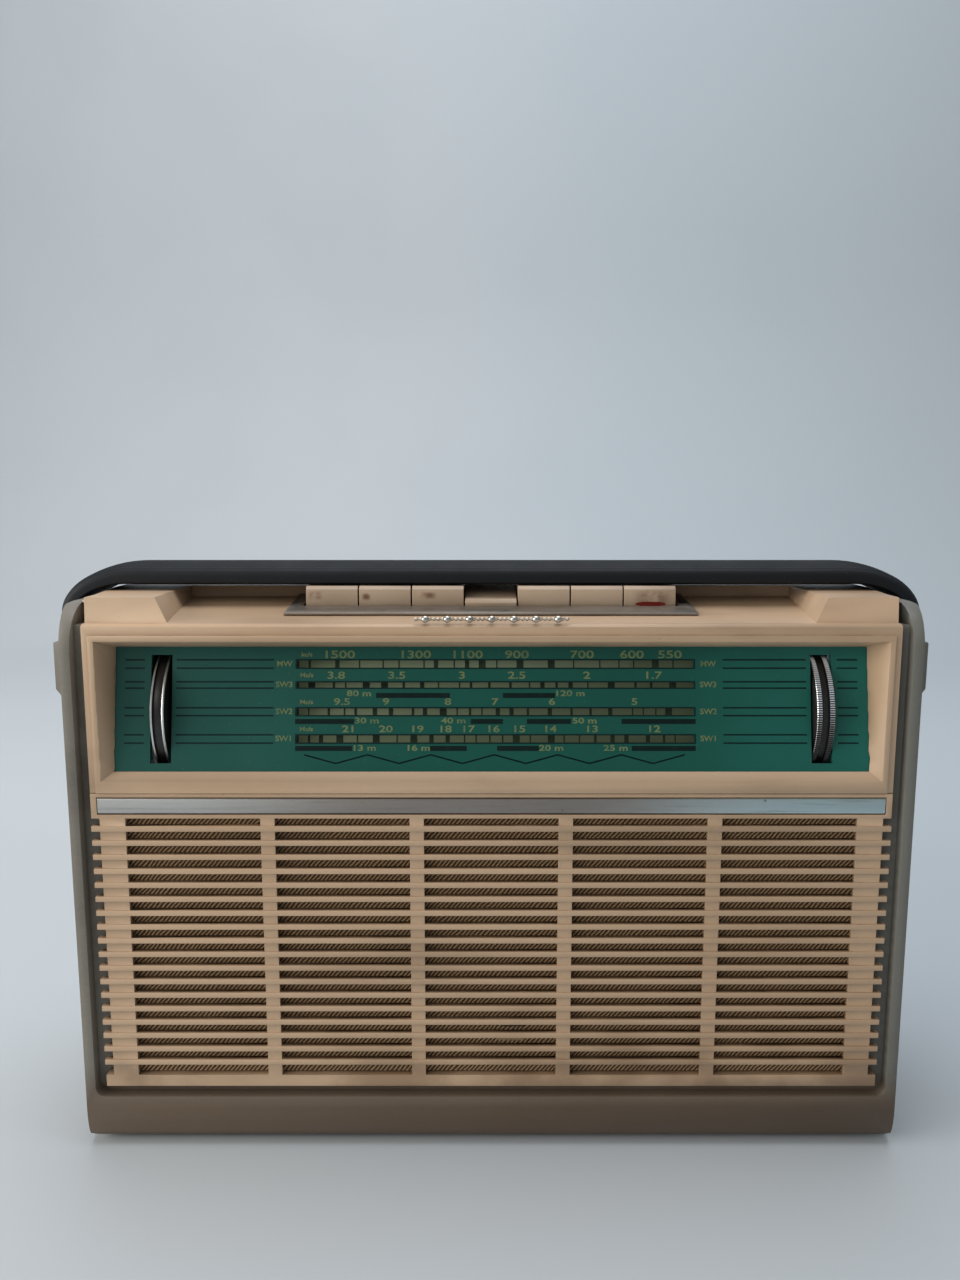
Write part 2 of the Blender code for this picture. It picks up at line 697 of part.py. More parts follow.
def wing_points(side):
    """Corners of the thin wing that widens an end block over the top edge of the shell."""
    low = SHELL_TOP + WING_CLEARANCE
    front = FRONT + LEDGE_DEPTH + PAST
    back = BEZEL_BACK
    crown = SHELL_SIDE - WING_SIDE_INSET
    bend = (HALF - SHELL_WALL, front + WING_FRONT_SETBACK)
    points = []
    for x, y in ((PANEL_HALF, front), bend, (crown, 0), (HALF - 2 * GAP, back)):
        top = max(x - WING_SLOPE_WIDTH, PANEL_HALF - PAST)
        points.append((side * x, y, low))
        points.append((side * top, y, CASE_HEIGHT))
    inner = PANEL_HALF - WING_OVERLAP
    for y in (front, back):
        points.append((side * inner, y, low))
        points.append((side * inner, y, CASE_HEIGHT))
    return points


def top_bezel():
    shape = prism(bezel_envelope(), X, -PANEL_HALF, PANEL_HALF)
    bezel = node("top_bezel", shape, BEIGE)
    inside = PANEL_HALF - SKIRT_WALL
    combine(bezel, prism(bezel_inside(), X, -inside, inside))
    reliefs = []
    for side in (-1, 1):
        ends = sorted((side * (FLANGE_HALF - 2 * GAP), side * (PANEL_HALF + PAST)))
        low = (ends[0], FLANGE_FRONT - GAP, SEAM - PAST)
        reliefs.append(box(low, (ends[1], BACK + FAR_PAST, LEDGE_TOP + GAP)))
    combine(bezel, joined(reliefs))
    combine(bezel, window_cutter())
    combine(bezel, convex(recess_points()))
    outer = PANEL_HALF + PAST
    frame = PANEL_HALF - BORDER_SIDE
    border = mirrored([(outer, SEAM - PAST), (outer, BEZEL_LEDGE + PAST)])
    border += mirrored([(frame, SEAM - PAST), (frame, BEZEL_LEDGE - BORDER_TOP)])[::-1]
    combine(bezel, prism(border, Y, FRONT - PAST, FRONT + BORDER_STEP))
    for side in (-1, 1):
        combine(bezel, convex(wing_points(side)), "UNION")
    slot_half = KEY_ROW / 2 + KEY_SIDE_CLEARANCE
    slot_low = (-slot_half, KEY_FRONT - KEY_FRONT_CLEARANCE, BEZEL_LEDGE - FAR_PAST)
    combine(bezel, box(slot_low, (slot_half, KEY_BACK + PAST, KEY_TOP + FAR_PAST)))
    posts = []
    holes = []
    for x in cover_posts():
        half = COVER_POST_SIZE / 2
        front = BEZEL_BACK - SCREW_LENGTH - 2 * PAST
        high = (x + half, BEZEL_BACK - COVER_POST_SPACE, CASE_HEIGHT - TOP_PLATE / 2)
        posts.append(box((x - half, front, SCREW_Z - half), high))
        holes.append(cylinder(Y, (x, SCREW_Z), SCREW_RADIUS + SCREW_CLEARANCE, front + PAST, BACK, 12))
    combine(bezel, joined(posts), "UNION")
    combine(bezel, joined(holes))


# Grille


def rib_spans():
    """Low and high X of every upright rib, from left to right."""
    outer = PANEL_HALF - COMB_LENGTH
    inner_edge = outer - OUTER_RIB_WIDTH
    opening = (2 * inner_edge - RIB_COUNT * RIB_WIDTH) / (RIB_COUNT + 1)
    spans = [(-outer, -inner_edge)]
    for index in range(RIB_COUNT):
        low = -inner_edge + opening + index * (opening + RIB_WIDTH)
        spans.append((low, low + RIB_WIDTH))
    spans.append((inner_edge, outer))
    return spans


def slat_heights():
    heights = []
    height = SEAM - FIRST_SLAT_DROP
    while height > GRILLE_BOTTOM + GRILLE_BOTTOM_BAR + SLAT_HEIGHT:
        heights.append(height)
        height -= SLAT_PITCH
    return heights


def speaker_grille():
    rib_front = FRONT + SLAT_PROUD
    bar_back = FRONT + GRILLE_DEPTH
    rib_back = FRONT + SLAT_DEPTH - RIB_BACK_STEP
    top = SEAM - GAP
    bar_top = GRILLE_BOTTOM + GRILLE_BOTTOM_BAR
    bars = [
        box((-PANEL_HALF, rib_front, GRILLE_BOTTOM), (PANEL_HALF, bar_back, bar_top)),
        box((-PANEL_HALF, rib_front, top - GRILLE_TOP_BAR), (PANEL_HALF, bar_back, top)),
    ]
    ribs = []
    for low, high in rib_spans():
        ribs.append(box((low, rib_front, GRILLE_BOTTOM + PAST), (high, rib_back, top - PAST)))
    slats = []
    for height in slat_heights():
        low = (-PANEL_HALF, FRONT, height - SLAT_HEIGHT / 2)
        slats.append(box(low, (PANEL_HALF, FRONT + SLAT_DEPTH, height + SLAT_HEIGHT / 2)))
    grille = node("speaker_grille", joined(bars), BEIGE)
    combine(grille, joined(ribs), "UNION")
    combine(grille, joined(slats), "UNION")
    trim_half = PANEL_HALF - TRIM_END + GAP
    trim_top = SEAM - TRIM_DROP + GAP
    low = (-trim_half, FRONT - PAST, trim_top - TRIM_HEIGHT - 2 * GAP)
    combine(grille, box(low, (trim_half, FRONT + SLAT_PROUD + TRIM_RECESS, trim_top)))


def trim_bar():
    half = PANEL_HALF - TRIM_END
    top = SEAM - TRIM_DROP
    back = FRONT + SLAT_PROUD + TRIM_RECESS - GAP
    front = back - TRIM_THICKNESS
    outline = [
        (back, top),
        (front + TRIM_BEVEL, top),
        (front, top - TRIM_BEVEL),
        (front, top - TRIM_HEIGHT + TRIM_BEVEL),
        (front + TRIM_BEVEL, top - TRIM_HEIGHT),
        (back, top - TRIM_HEIGHT),
    ]
    node("trim_bar", prism(outline, X, -half, half), BRUSHED)


def cloth_and_baffle():
    """Both fit between the grille's bars and inside the shell's flange, close behind the slats."""
    half = BAFFLE_HALF
    cloth = box((-half, CLOTH_FRONT, CLOTH_BOTTOM), (half, CLOTH_FRONT + CLOTH_THICKNESS, CLOTH_TOP))
    node("grille_cloth", cloth, CLOTH)
    board = box((-half, BAFFLE_FRONT, CLOTH_BOTTOM), (half, BAFFLE_BACK, CLOTH_TOP))
    baffle = node("baffle_board", board, HARDBOARD)
    hole_radius = CONE_RADIUS + BAFFLE_HOLE_MARGIN
    centre = (SPEAKER_X, SPEAKER_Z)
    combine(baffle, cylinder(Y, centre, hole_radius, BAFFLE_FRONT - PAST, BAFFLE_BACK + PAST, 32))


# Dial


def in_dial_frame(made):
    """Places a piece modelled in the glass's own frame: X across, Y into the radio, Z up the glass."""
    made.matrix_world = DIAL_FRAME
    return made


def wheel_slot_half():
    depth = WHEEL_RADIUS - WHEEL_PROUD - GLASS_THICKNESS
    return math.sqrt(WHEEL_RADIUS**2 - depth**2) + WHEEL_SLOT_CLEARANCE


def dial_glass():
    half = GLASS_HALF + GLASS_MARGIN
    rise = GLASS_RISE + GLASS_MARGIN - GLASS_SEAT_SPACE
    glass = node("dial_glass", box((-half, GAP, -rise), (half, GAP + GLASS_THICKNESS, rise)), DIAL_GREEN)
    slot = wheel_slot_half()
    slots = []
    for side in (-1, 1):
        middle = side * WHEEL_X
        low = (middle - WHEEL_SLOT_WIDTH / 2, GAP - PAST, -slot)
        slots.append(box(low, (middle + WHEEL_SLOT_WIDTH / 2, GAP + GLASS_THICKNESS + PAST, slot)))
    combine(glass, joined(slots))
    in_dial_frame(glass)
    in_dial_frame(glass.modifiers[0].object)


def dial_plate():
    low = (-DIAL_PLATE_HALF, POINTER_BACK, -GLASS_RISE)
    high = (DIAL_PLATE_HALF, POINTER_BACK + DIAL_PLATE_THICKNESS, GLASS_RISE)
    in_dial_frame(node("dial_plate", box(low, high), DIAL_BACK))


def dial_pointer():
    """A needle between glass and plate, carried by a slider on the rail above."""
    front = POINTER_BACK - POINTER_DEPTH - POINTER_CLEARANCE
    left = POINTER_REST - POINTER_WIDTH / 2
    right = left + POINTER_WIDTH
    foot = GLASS_RISE + RAIL_SLIDER_RISE
    needle = box((left, front, -GLASS_RISE + PAST), (right, front + POINTER_DEPTH, foot + PAST))
    pointer = node("dial_pointer", needle, BLACK)
    half = CARRIAGE_WIDTH / 2
    low = (POINTER_REST - half, front - POINTER_STEP, foot)
    combine(pointer, box(low, (POINTER_REST + half, CARRIAGE_BACK, foot + CARRIAGE_WIDTH)), "UNION")
    rail = (RAIL_IN_DIAL.y, RAIL_IN_DIAL.z)
    bore = POINTER_RAIL_RADIUS + POINTER_RAIL_CLEARANCE
    reach = half + PAST
    combine(pointer, cylinder(X, rail, bore, POINTER_REST - reach, POINTER_REST + reach, 10))
    in_dial_frame(pointer)
    for modifier in pointer.modifiers:
        in_dial_frame(modifier.object)


def pointer_rail():
    reach = WHEEL_X - BRACKET_OFFSET + RAIL_END
    centre = (RAIL_CENTRE.y, RAIL_CENTRE.z)
    node("pointer_rail", cylinder(X, centre, POINTER_RAIL_RADIUS, -reach, reach, 10), STEEL, smooth=True)


def wheel_profile(middle, width, shaft_end, side):
    """A thumbwheel with its shaft, as (place along X, radius), from the case side inwards."""
    half = width / 2 * side
    hub = middle + half + WHEEL_HUB * side
    rim = WHEEL_RADIUS - WHEEL_RIM_STEP
    crown = half - WHEEL_RIM_STEP * side
    return [
        (hub, 0),
        (hub, SHAFT_RADIUS),
        (middle + half, SHAFT_RADIUS),
        (middle + half, rim),
        (middle + crown, WHEEL_RADIUS),
        (middle - crown, WHEEL_RADIUS),
        (middle - half, rim),
        (middle - half, SHAFT_RADIUS),
        (shaft_end, SHAFT_RADIUS),
        (shaft_end, 0),
    ]


def thumbwheels():
    centre = (WHEEL_CENTRE.y, WHEEL_CENTRE.z)
    inner = WHEEL_X - BRACKET_OFFSET - BRACKET_THICKNESS
    tuning = wheel_profile(WHEEL_X, TUNING_WHEEL_WIDTH, inner - TUNING_SHAFT_REACH, 1)
    node("tuning_wheel", turned(tuning, X, centre, 40), BLACK, smooth=True)
    volume = wheel_profile(-WHEEL_X, VOLUME_WHEEL_WIDTH, -inner + POT_LENGTH, -1)
    node("volume_wheel", turned(volume, X, centre, 40), BLACK, smooth=True)
    bore = SHAFT_RADIUS + SHAFT_CLEARANCE
    drum_high = inner - DRUM_OFFSET
    drum = tube(X, centre, bore, DRUM_RADIUS, drum_high - DRUM_WIDTH, drum_high, 28)
    node("drive_drum", drum, BLACK, smooth=True)
    pot_low = -inner + GAP
    pot = tube(X, centre, bore, POT_RADIUS, pot_low, pot_low + POT_LENGTH, 20)
    node("volume_pot", pot, STEEL, smooth=True)


def wheel_brackets():
    shaft = (WHEEL_CENTRE.y, WHEEL_CENTRE.z)
    rail = (RAIL_CENTRE.y, RAIL_CENTRE.z)
    for name, side in (("wheel_bracket_left", -1), ("wheel_bracket_right", 1)):
        ends = sorted(side * (WHEEL_X - BRACKET_OFFSET - offset) for offset in (0, BRACKET_THICKNESS))
        low = (ends[0], RAIL_CENTRE.y - BRACKET_MARGIN, WHEEL_CENTRE.z - BRACKET_DROP)
        high = (ends[1], BOARD_FRONT - GAP, RAIL_CENTRE.z + BRACKET_MARGIN)
        bracket = node(name, box(low, high), STEEL)
        low_x, high_x = ends[0] - PAST, ends[1] + PAST
        holes = [
            cylinder(X, shaft, SHAFT_RADIUS + SHAFT_CLEARANCE, low_x, high_x, 16),
            cylinder(X, rail, POINTER_RAIL_RADIUS + POINTER_RAIL_CLEARANCE, low_x, high_x, 10),
        ]
        combine(bracket, joined(holes))


# Keys


def key_outline():
    """Side outline of one key: cap, front skirt, and the arm back to the boss on the rod."""
    pivot_y, pivot_z = KEY_PIVOT
    under = KEY_TOP - KEY_CAP_THICKNESS
    boss = arc(KEY_PIVOT, [KEY_BOSS_RADIUS] * 2, -120, 90, 8)
    return [
        (KEY_FRONT, KEY_TOP - KEY_CHAMFER),
        (KEY_FRONT, KEY_TOP - KEY_SKIRT),
        (KEY_FRONT + KEY_SKIRT_THICKNESS, KEY_TOP - KEY_SKIRT),
        (KEY_FRONT + KEY_SKIRT_THICKNESS, under),
        (KEY_BACK - KEY_SKIRT_THICKNESS, under - KEY_ARM_DROP),
        *boss,
        (KEY_BACK, pivot_z + KEY_BOSS_RADIUS),
        (KEY_BACK, KEY_TOP - KEY_BACK_CHAMFER),
        (KEY_BACK - KEY_BACK_CHAMFER, KEY_TOP),
        (KEY_FRONT + KEY_CHAMFER, KEY_TOP),
    ]


def keys():
    pivot = Vector((0, *KEY_PIVOT))
    latched = Matrix.Translation(pivot) @ Matrix.Rotation(KEY_TRAVEL, 4, "X") @ Matrix.Translation(-pivot)
    half = (KEY_PITCH - KEY_GAP) / 2
    bore = KEY_ROD_RADIUS + KEY_ROD_CLEARANCE
    for number in range(1, KEY_COUNT + 1):
        middle = (number - (KEY_COUNT + 1) / 2) * KEY_PITCH
        key = node(f"key_{number}", prism(key_outline(), X, middle - half, middle + half), BEIGE)
        combine(key, cylinder(X, KEY_PIVOT, bore, middle - half - PAST, middle + half + PAST, 12))
        if number == LATCHED_KEY:
            key.matrix_world = latched
            key.modifiers[0].object.matrix_world = latched


def key_switch():
    """Switch bank under the keys, whose two lugs carry the rod that the keys turn on."""
    half = KEY_ROW / 2 + GAP + SWITCH_LUG
    top = CASE_HEIGHT - SWITCH_DROP
    low = (-half, KEY_FRONT + SWITCH_SETBACK, top - SWITCH_HEIGHT)
    switch = node("key_switch", box(low, (half, KEY_BACK, top)), BLACK)
    lugs = []
    for side in (-1, 1):
        ends = sorted((side * (half - LUG_STEP), side * (half - SWITCH_LUG + LUG_STEP)))
        low = (ends[0], STEP_BACK + GAP, top - SWITCH_LUG)
        high = (ends[1], KEY_PIVOT[0] + LUG_MARGIN, CASE_HEIGHT - TOP_PLATE - 2 * GAP)
        lugs.append(box(low, high))
    combine(switch, joined(lugs), "UNION")
    reach = half + PAST
    combine(switch, cylinder(X, KEY_PIVOT, KEY_ROD_RADIUS + KEY_ROD_CLEARANCE, -reach, reach, 12))
    node("key_rod", cylinder(X, KEY_PIVOT, KEY_ROD_RADIUS, -half, half, 12), STEEL, smooth=True)


def key_plate():
    """Thin plate on the sloping floor, open at the back, round three sides of the keys."""
    outer = KEY_ROW / 2 + KEY_PLATE_MARGIN
    inner = KEY_ROW / 2 + KEY_SIDE_CLEARANCE
    front = FRONT + KEY_PLATE_FRONT
    slot = KEY_FRONT - KEY_FRONT_CLEARANCE
    back = FLOOR_END - 2 * GAP
    outline = [
        (-outer, front),
        (outer, front),
        (outer, back),
        (inner, back),
        (inner, slot),
        (-inner, slot),
        (-inner, back),
        (-outer, back),
    ]
    shape = prism(outline, Z, 0, KEY_PLATE_THICKNESS)
    for vert in shape.verts:
        vert.co.z += floor_height(vert.co.y) + GAP
    node("key_plate", shape, BRUSHED)


def badge_bar():
    """Plain ornament on the rounded front edge of the ledge: a thin bar with beads along it."""
    pitch = BADGE_LENGTH / BEAD_COUNT
    profile = [(-BADGE_LENGTH / 2, 0), (-BADGE_LENGTH / 2, BADGE_BAR_RADIUS)]
    for index in range(BEAD_COUNT):
        middle = (index - (BEAD_COUNT - 1) / 2) * pitch
        for angle in (158, 120, 90, 60, 22):
            along = middle + BEAD_RADIUS * math.cos(math.radians(angle))
            profile.append((along, BEAD_RADIUS * math.sin(math.radians(angle))))
    profile += [(BADGE_LENGTH / 2, BADGE_BAR_RADIUS), (BADGE_LENGTH / 2, 0)]
    reach = LEDGE_ROUNDING + GAP + BEAD_RADIUS
    y = LEDGE_ARC_CENTRE[0] - reach * math.sin(BADGE_ANGLE)
    height = LEDGE_ARC_CENTRE[1] + reach * math.cos(BADGE_ANGLE)
    node("badge_bar", turned(profile, X, (y, height), 10), CHROME, smooth=True)


# Loudspeaker


def speaker():
    centre = (SPEAKER_X, SPEAKER_Z)
    front = BAFFLE_BACK + GAP
    back = front + SPEAKER_DEPTH
    speaker_basket(centre, front, back)
    magnet_low = back + GAP
    magnet_high = magnet_low + MAGNET_DEPTH
    magnet = [
        (magnet_low, 0),
        (magnet_low, MAGNET_RADIUS),
        (magnet_high - MAGNET_CHAMFER, MAGNET_RADIUS),
        (magnet_high, MAGNET_RADIUS - MAGNET_CHAMFER),
        (magnet_high, 0),
    ]
    node("speaker_magnet", turned(magnet, Y, centre, 24), STEEL, smooth=True)
    speaker_cone(centre, front, back)


def speaker_basket(centre, front, back):
    """Its rim is straight for as far as the cone travels, then it narrows to the neck."""
    inner = CONE_RADIUS + CONE_CLEARANCE
    outer = inner + BASKET_SHEET
    straight = front + BASKET_SHEET + CONE_CLEARANCE + CONE_TRAVEL
    basket = [
        (front, inner),
        (front, SPEAKER_RADIUS),
        (front + BASKET_SHEET, SPEAKER_RADIUS),
        (front + BASKET_SHEET, outer),
        (straight + GAP, outer),
        (back - 2 * BASKET_SHEET, BASKET_NECK + BASKET_SHEET),
        (back, BASKET_NECK + BASKET_SHEET),
        (back, COIL_RADIUS + CONE_SHEET),
        (back - BASKET_SHEET, COIL_RADIUS + CONE_SHEET),
        (back - BASKET_SHEET, BASKET_NECK),
        (back - 2 * BASKET_SHEET - GAP, BASKET_NECK),
        (straight, inner),
    ]
    node("speaker_basket", turned(basket, Y, centre, 32, hollow=True), STEEL, smooth=True)


def speaker_cone(centre, front, back):
    """The paper cone with its domed dust cap, and the voice coil's tube behind it."""
    neck = back - CONE_NECK_DEPTH
    cone = [
        (neck - 0.003, 0),
        (neck - 0.0016, COIL_RADIUS * 0.6),
        (neck, COIL_RADIUS - CONE_SHEET),
        (front + 0.0008, CONE_RADIUS - 0.0008),
        (front + 0.0016, CONE_RADIUS),
        (neck + 0.0012, COIL_RADIUS),
        (back - 0.002, COIL_RADIUS),
        (back - 0.002, COIL_RADIUS - CONE_SHEET),
        (neck + 0.0008, COIL_RADIUS - 0.0018),
        (neck - 0.0008, COIL_RADIUS * 0.5),
        (neck - 0.0022, 0),
    ]
    node("speaker_cone", turned(cone, Y, centre, 32), PAPER, smooth=True)


# Battery compartment


def battery_holder():
    low = (HOLDER_LEFT, HOLDER_FRONT, HOLDER_BOTTOM)
    holder = node("battery_holder", box(low, (HOLDER_RIGHT, HOLDER_BACK, HOLDER_TOP)), BLACK)
    bay_low = (HOLDER_LEFT + HOLDER_WALL, HOLDER_FRONT + HOLDER_WALL, HOLDER_BAY)
    bay_high = (HOLDER_RIGHT - HOLDER_WALL, HOLDER_BACK + PAST, HOLDER_TOP - HOLDER_WALL)
    under_low = (HOLDER_LEFT + HOLDER_LEG, HOLDER_FRONT - PAST, HOLDER_BOTTOM - PAST)
    under_high = (HOLDER_RIGHT - HOLDER_LEG, HOLDER_BACK + PAST, HOLDER_BAY - HOLDER_WALL)
    combine(holder, joined([box(bay_low, bay_high), box(under_low, under_high)]))


def row_centre(row):
    """Y and Z of the axis of one row of cells, counted from the bottom."""
    y = HOLDER_FRONT + HOLDER_WALL + CELL_RADIUS + CELL_CLEARANCE
    return (y, HOLDER_BAY + ROW_PITCH * (row + 0.5))


def battery_cells():
    start = HOLDER_LEFT + HOLDER_WALL + CONTACT_SPACE
    chamfered = CELL_RADIUS - CELL_ROUNDING
    for row in range(CELL_ROWS):
        for column in range(2):
            low = start + column * (CELL_LENGTH + GAP)
            high = low + CELL_LENGTH
            shoulder = high - CELL_CAP_LENGTH
            profile = [(low, 0), (low, chamfered), (low + CELL_ROUNDING, CELL_RADIUS)]
            profile += [(shoulder - CELL_ROUNDING, CELL_RADIUS), (shoulder, chamfered)]
            profile += [(shoulder, CELL_CAP_RADIUS), (high, CELL_CAP_RADIUS), (high, 0)]
            name = f"battery_cell_{row * 2 + column + 1}"
            node(name, turned(profile, X, row_centre(row), 20), CELL, smooth=True)


def battery_contacts():
    """Contact plates at both ends, with one round pad for each row of cells."""
    y = row_centre(0)[0]
    bottom = HOLDER_BAY + CONTACT_END_SPACE
    top = HOLDER_TOP - HOLDER_WALL - CONTACT_END_SPACE
    for name, wall, side in (
        ("battery_contact_left", HOLDER_LEFT + HOLDER_WALL, 1),
        ("battery_contact_right", HOLDER_RIGHT - HOLDER_WALL, -1),
    ):
        ends = sorted((wall + side * GAP, wall + side * (GAP + CONTACT_THICKNESS)))
        low = (ends[0], y - CONTACT_HALF_WIDTH, bottom)
        plate = node(name, box(low, (ends[1], y + CONTACT_HALF_WIDTH, top)), STEEL)
        face = wall + side * (GAP + CONTACT_THICKNESS / 2)
        pad = sorted((face, wall + side * (CONTACT_SPACE - GAP)))
        rows = range(CELL_ROWS)
        pads = [cylinder(X, row_centre(row), CONTACT_PAD_RADIUS, pad[0], pad[1], 12) for row in rows]
        combine(plate, joined(pads), "UNION")


# Chassis


def chassis_board():
    """Board across the case, notched where a thumbwheel or a drum would reach it."""
    half = PANEL_HALF - BOARD_END_INSET
    panel = box((-half, BOARD_FRONT, BOARD_BOTTOM), (half, BOARD_BACK, BOARD_TOP))
    board = node("chassis_board", panel, BOARD)
    centre = (WHEEL_CENTRE.y, WHEEL_CENTRE.z)
    wells = []
    for middle in (-WHEEL_X, WHEEL_X):
        low, high = middle - WHEEL_SLOT_WIDTH / 2, middle + WHEEL_SLOT_WIDTH / 2
        wells.append(cylinder(X, centre, WHEEL_RADIUS + WHEEL_WELL_CLEARANCE, low, high, 32))
    combine(board, joined(wells))


def board_parts():
    """Screened coils and the audio transformer, standing on the back of the board."""
    foot = BOARD_BACK + GAP
    middle = (SEAM + BOARD_TOP) / 2
    for number, x in enumerate(CAN_PLACES, 1):
        low = (x - CAN_HALF, foot, middle - CAN_HALF)
        high = (x + CAN_HALF, foot + CAN_DEPTH, middle + CAN_HALF)
        node(f"coil_can_{number}", box(low, high), STEEL)
    low = (TRANSFORMER_SPAN[0], foot, middle - TRANSFORMER_HALF)
    high = (TRANSFORMER_SPAN[1], foot + TRANSFORMER_DEPTH, middle + TRANSFORMER_HALF)
    node("audio_transformer", box(low, high), STEEL)


def ferrite_aerial():
    half = ROD_LENGTH / 2
    node("ferrite_rod", cylinder(X, ROD_CENTRE, ROD_RADIUS, -half, half, 16), FERRITE, smooth=True)
    bore = ROD_RADIUS + ROD_CLEARANCE
    coil = tube(X, ROD_CENTRE, bore, bore + COIL_THICKNESS, COIL_SPAN[0], COIL_SPAN[1], 18)
    node("ferrite_coil", coil, HARDBOARD, smooth=True)
    around = bore + ROD_BRACKET_WALL
    for name, side in (("rod_bracket_left", -1), ("rod_bracket_right", 1)):
        x = side * (half - ROD_BRACKET_INSET)
        low = (x - ROD_BRACKET_WIDTH / 2, BOARD_BACK + GAP, BOARD_TOP - ROD_BRACKET_LAP)
        high = (x + ROD_BRACKET_WIDTH / 2, ROD_CENTRE[0] + around, ROD_CENTRE[1] + around)
        bracket = node(name, box(low, high), BLACK)
        reach = ROD_BRACKET_WIDTH / 2 + PAST
        combine(bracket, cylinder(X, ROD_CENTRE, bore, x - reach, x + reach, 16))


def half_disc(x):
    """One rotor vane, on the far side of the shaft from the fixed plates."""
    outline = arc(CAPACITOR_AXIS, [VANE_RADIUS] * 2, -90, 90, 12)
    return prism(outline, X, x - VANE_THICKNESS / 2, x + VANE_THICKNESS / 2)


def tuning_capacitor():
    """Gang capacitor: a bent frame, fixed plates on a bar, and a rotor whose vanes turn in between them."""
    low_x = CAPACITOR_X
    high_x = CAPACITOR_X + CAPACITOR_LENGTH
    foot = BOARD_BACK + GAP
    floor = foot + CAPACITOR_SHEET
    y, z = CAPACITOR_AXIS
    reach = y + CAPACITOR_REACH
    outline = [
        (low_x, foot),
        (high_x, foot),
        (high_x, reach),
        (high_x - CAPACITOR_SHEET, reach),
        (high_x - CAPACITOR_SHEET, floor),
        (low_x + CAPACITOR_SHEET, floor),
        (low_x + CAPACITOR_SHEET, reach),
        (low_x, reach),
    ]
    half = CAPACITOR_HEIGHT / 2
    frame = node("capacitor_frame", prism(outline, Z, z - half, z + half), STEEL)
    bore = CAPACITOR_SHAFT + SHAFT_CLEARANCE
    combine(frame, cylinder(X, CAPACITOR_AXIS, bore, low_x - PAST, high_x + PAST, 14))
    ends = (low_x - CAPACITOR_SHAFT_ENDS, high_x + CAPACITOR_SHAFT_ENDS)
    rotor = node("capacitor_rotor", cylinder(X, CAPACITOR_AXIS, CAPACITOR_SHAFT, *ends, 14), STEEL)
    first = (low_x + high_x) / 2 - VANE_PITCH * (VANE_COUNT - 1) / 2
    last = first + VANE_PITCH * (VANE_COUNT - 1)
    vanes = [half_disc(first + VANE_PITCH * index) for index in range(VANE_COUNT)]
    combine(rotor, joined(vanes), "UNION")
    bar_back = floor + GAP + CAPACITOR_BAR_THICKNESS
    plates = []
    for index in range(VANE_COUNT - 1):
        x = first + VANE_PITCH * (index + 0.5)
        low = (x - VANE_THICKNESS / 2, bar_back - PAST, z - VANE_RADIUS)
        high = (x + VANE_THICKNESS / 2, y - CAPACITOR_SHAFT - GAP, z + VANE_RADIUS)
        plates.append(box(low, high))
    bar_low = (first + PAST, floor + GAP, z - CAPACITOR_BAR_HALF)
    bar = box(bar_low, (last - PAST, bar_back, z + CAPACITOR_BAR_HALF))
    stator = node("capacitor_plates", bar, STEEL)
    combine(stator, joined(plates), "UNION")


# Back cover


def back_cover():
    half = HALF - SHELL_WALL - COVER_CLEARANCE
    bottom = COVER_PIVOT[1] - COVER_LOWER_EDGE
    top = CASE_HEIGHT - GAP
    outline = [
        (half - COVER_CORNER, bottom),
        (half, bottom + COVER_CORNER),
        (half, SHELL_TOP - COVER_CORNER),
        (half - COVER_TOP_CORNER, top),
    ]
    panel = prism(mirrored(outline), Y, COVER_FRONT, COVER_FRONT + COVER_THICKNESS)
    cover = node("back_cover", panel, GREY)
    slots = []
    for index in range(COVER_SLOT_COUNT):
        z = SPEAKER_Z + (index - (COVER_SLOT_COUNT - 1) / 2) * COVER_SLOT_PITCH
        low = (SPEAKER_X - COVER_SLOT_WIDTH / 2, COVER_FRONT - PAST, z - COVER_SLOT_HEIGHT / 2)
        slots.append(box(low, (SPEAKER_X + COVER_SLOT_WIDTH / 2, BACK + PAST, z + COVER_SLOT_HEIGHT / 2)))
    for x in cover_posts():
        slots.append(cylinder(Y, (x, SCREW_Z), SCREW_RADIUS + GAP, COVER_FRONT - PAST, BACK + PAST, 12))
    combine(cover, joined(slots))


def cover_screws():
    outside = COVER_FRONT + COVER_THICKNESS + GAP
    tip = COVER_FRONT - SCREW_LENGTH
    end = outside + SCREW_HEAD_HEIGHT
    profile = [
        (tip, 0),
        (tip, SCREW_RADIUS - SCREW_TIP),
        (tip + SCREW_TIP, SCREW_RADIUS),
        (outside, SCREW_RADIUS),
        (outside, SCREW_HEAD_RADIUS),
        (end, SCREW_HEAD_RADIUS - SCREW_TIP),
        (end, 0),
    ]
    reach = SCREW_HEAD_RADIUS + PAST
    half = SCREW_SLOT_WIDTH / 2
    for name, x in zip(("cover_screw_left", "cover_screw_right"), cover_posts()):
        screw = node(name, turned(profile, Y, (x, SCREW_Z), 20), STEEL, smooth=True)
        slot_low = (x - reach, end - SCREW_SLOT_DEPTH, SCREW_Z - half)
        combine(screw, box(slot_low, (x + reach, end + PAST, SCREW_Z + half)))


# Carrying strap


def strap_side(radius_x, radius_z, end):
    """Right half of one face of the strap, from its end up round the corner to the straight top."""
    centre = (STRAP_OUTSIDE - STRAP_CORNER_X, STRAP_TOP - STRAP_CORNER_Z)
    side = centre[0] + radius_x
    return [(side, end)] + arc(centre, (radius_x, radius_z), 0, 90, 8)


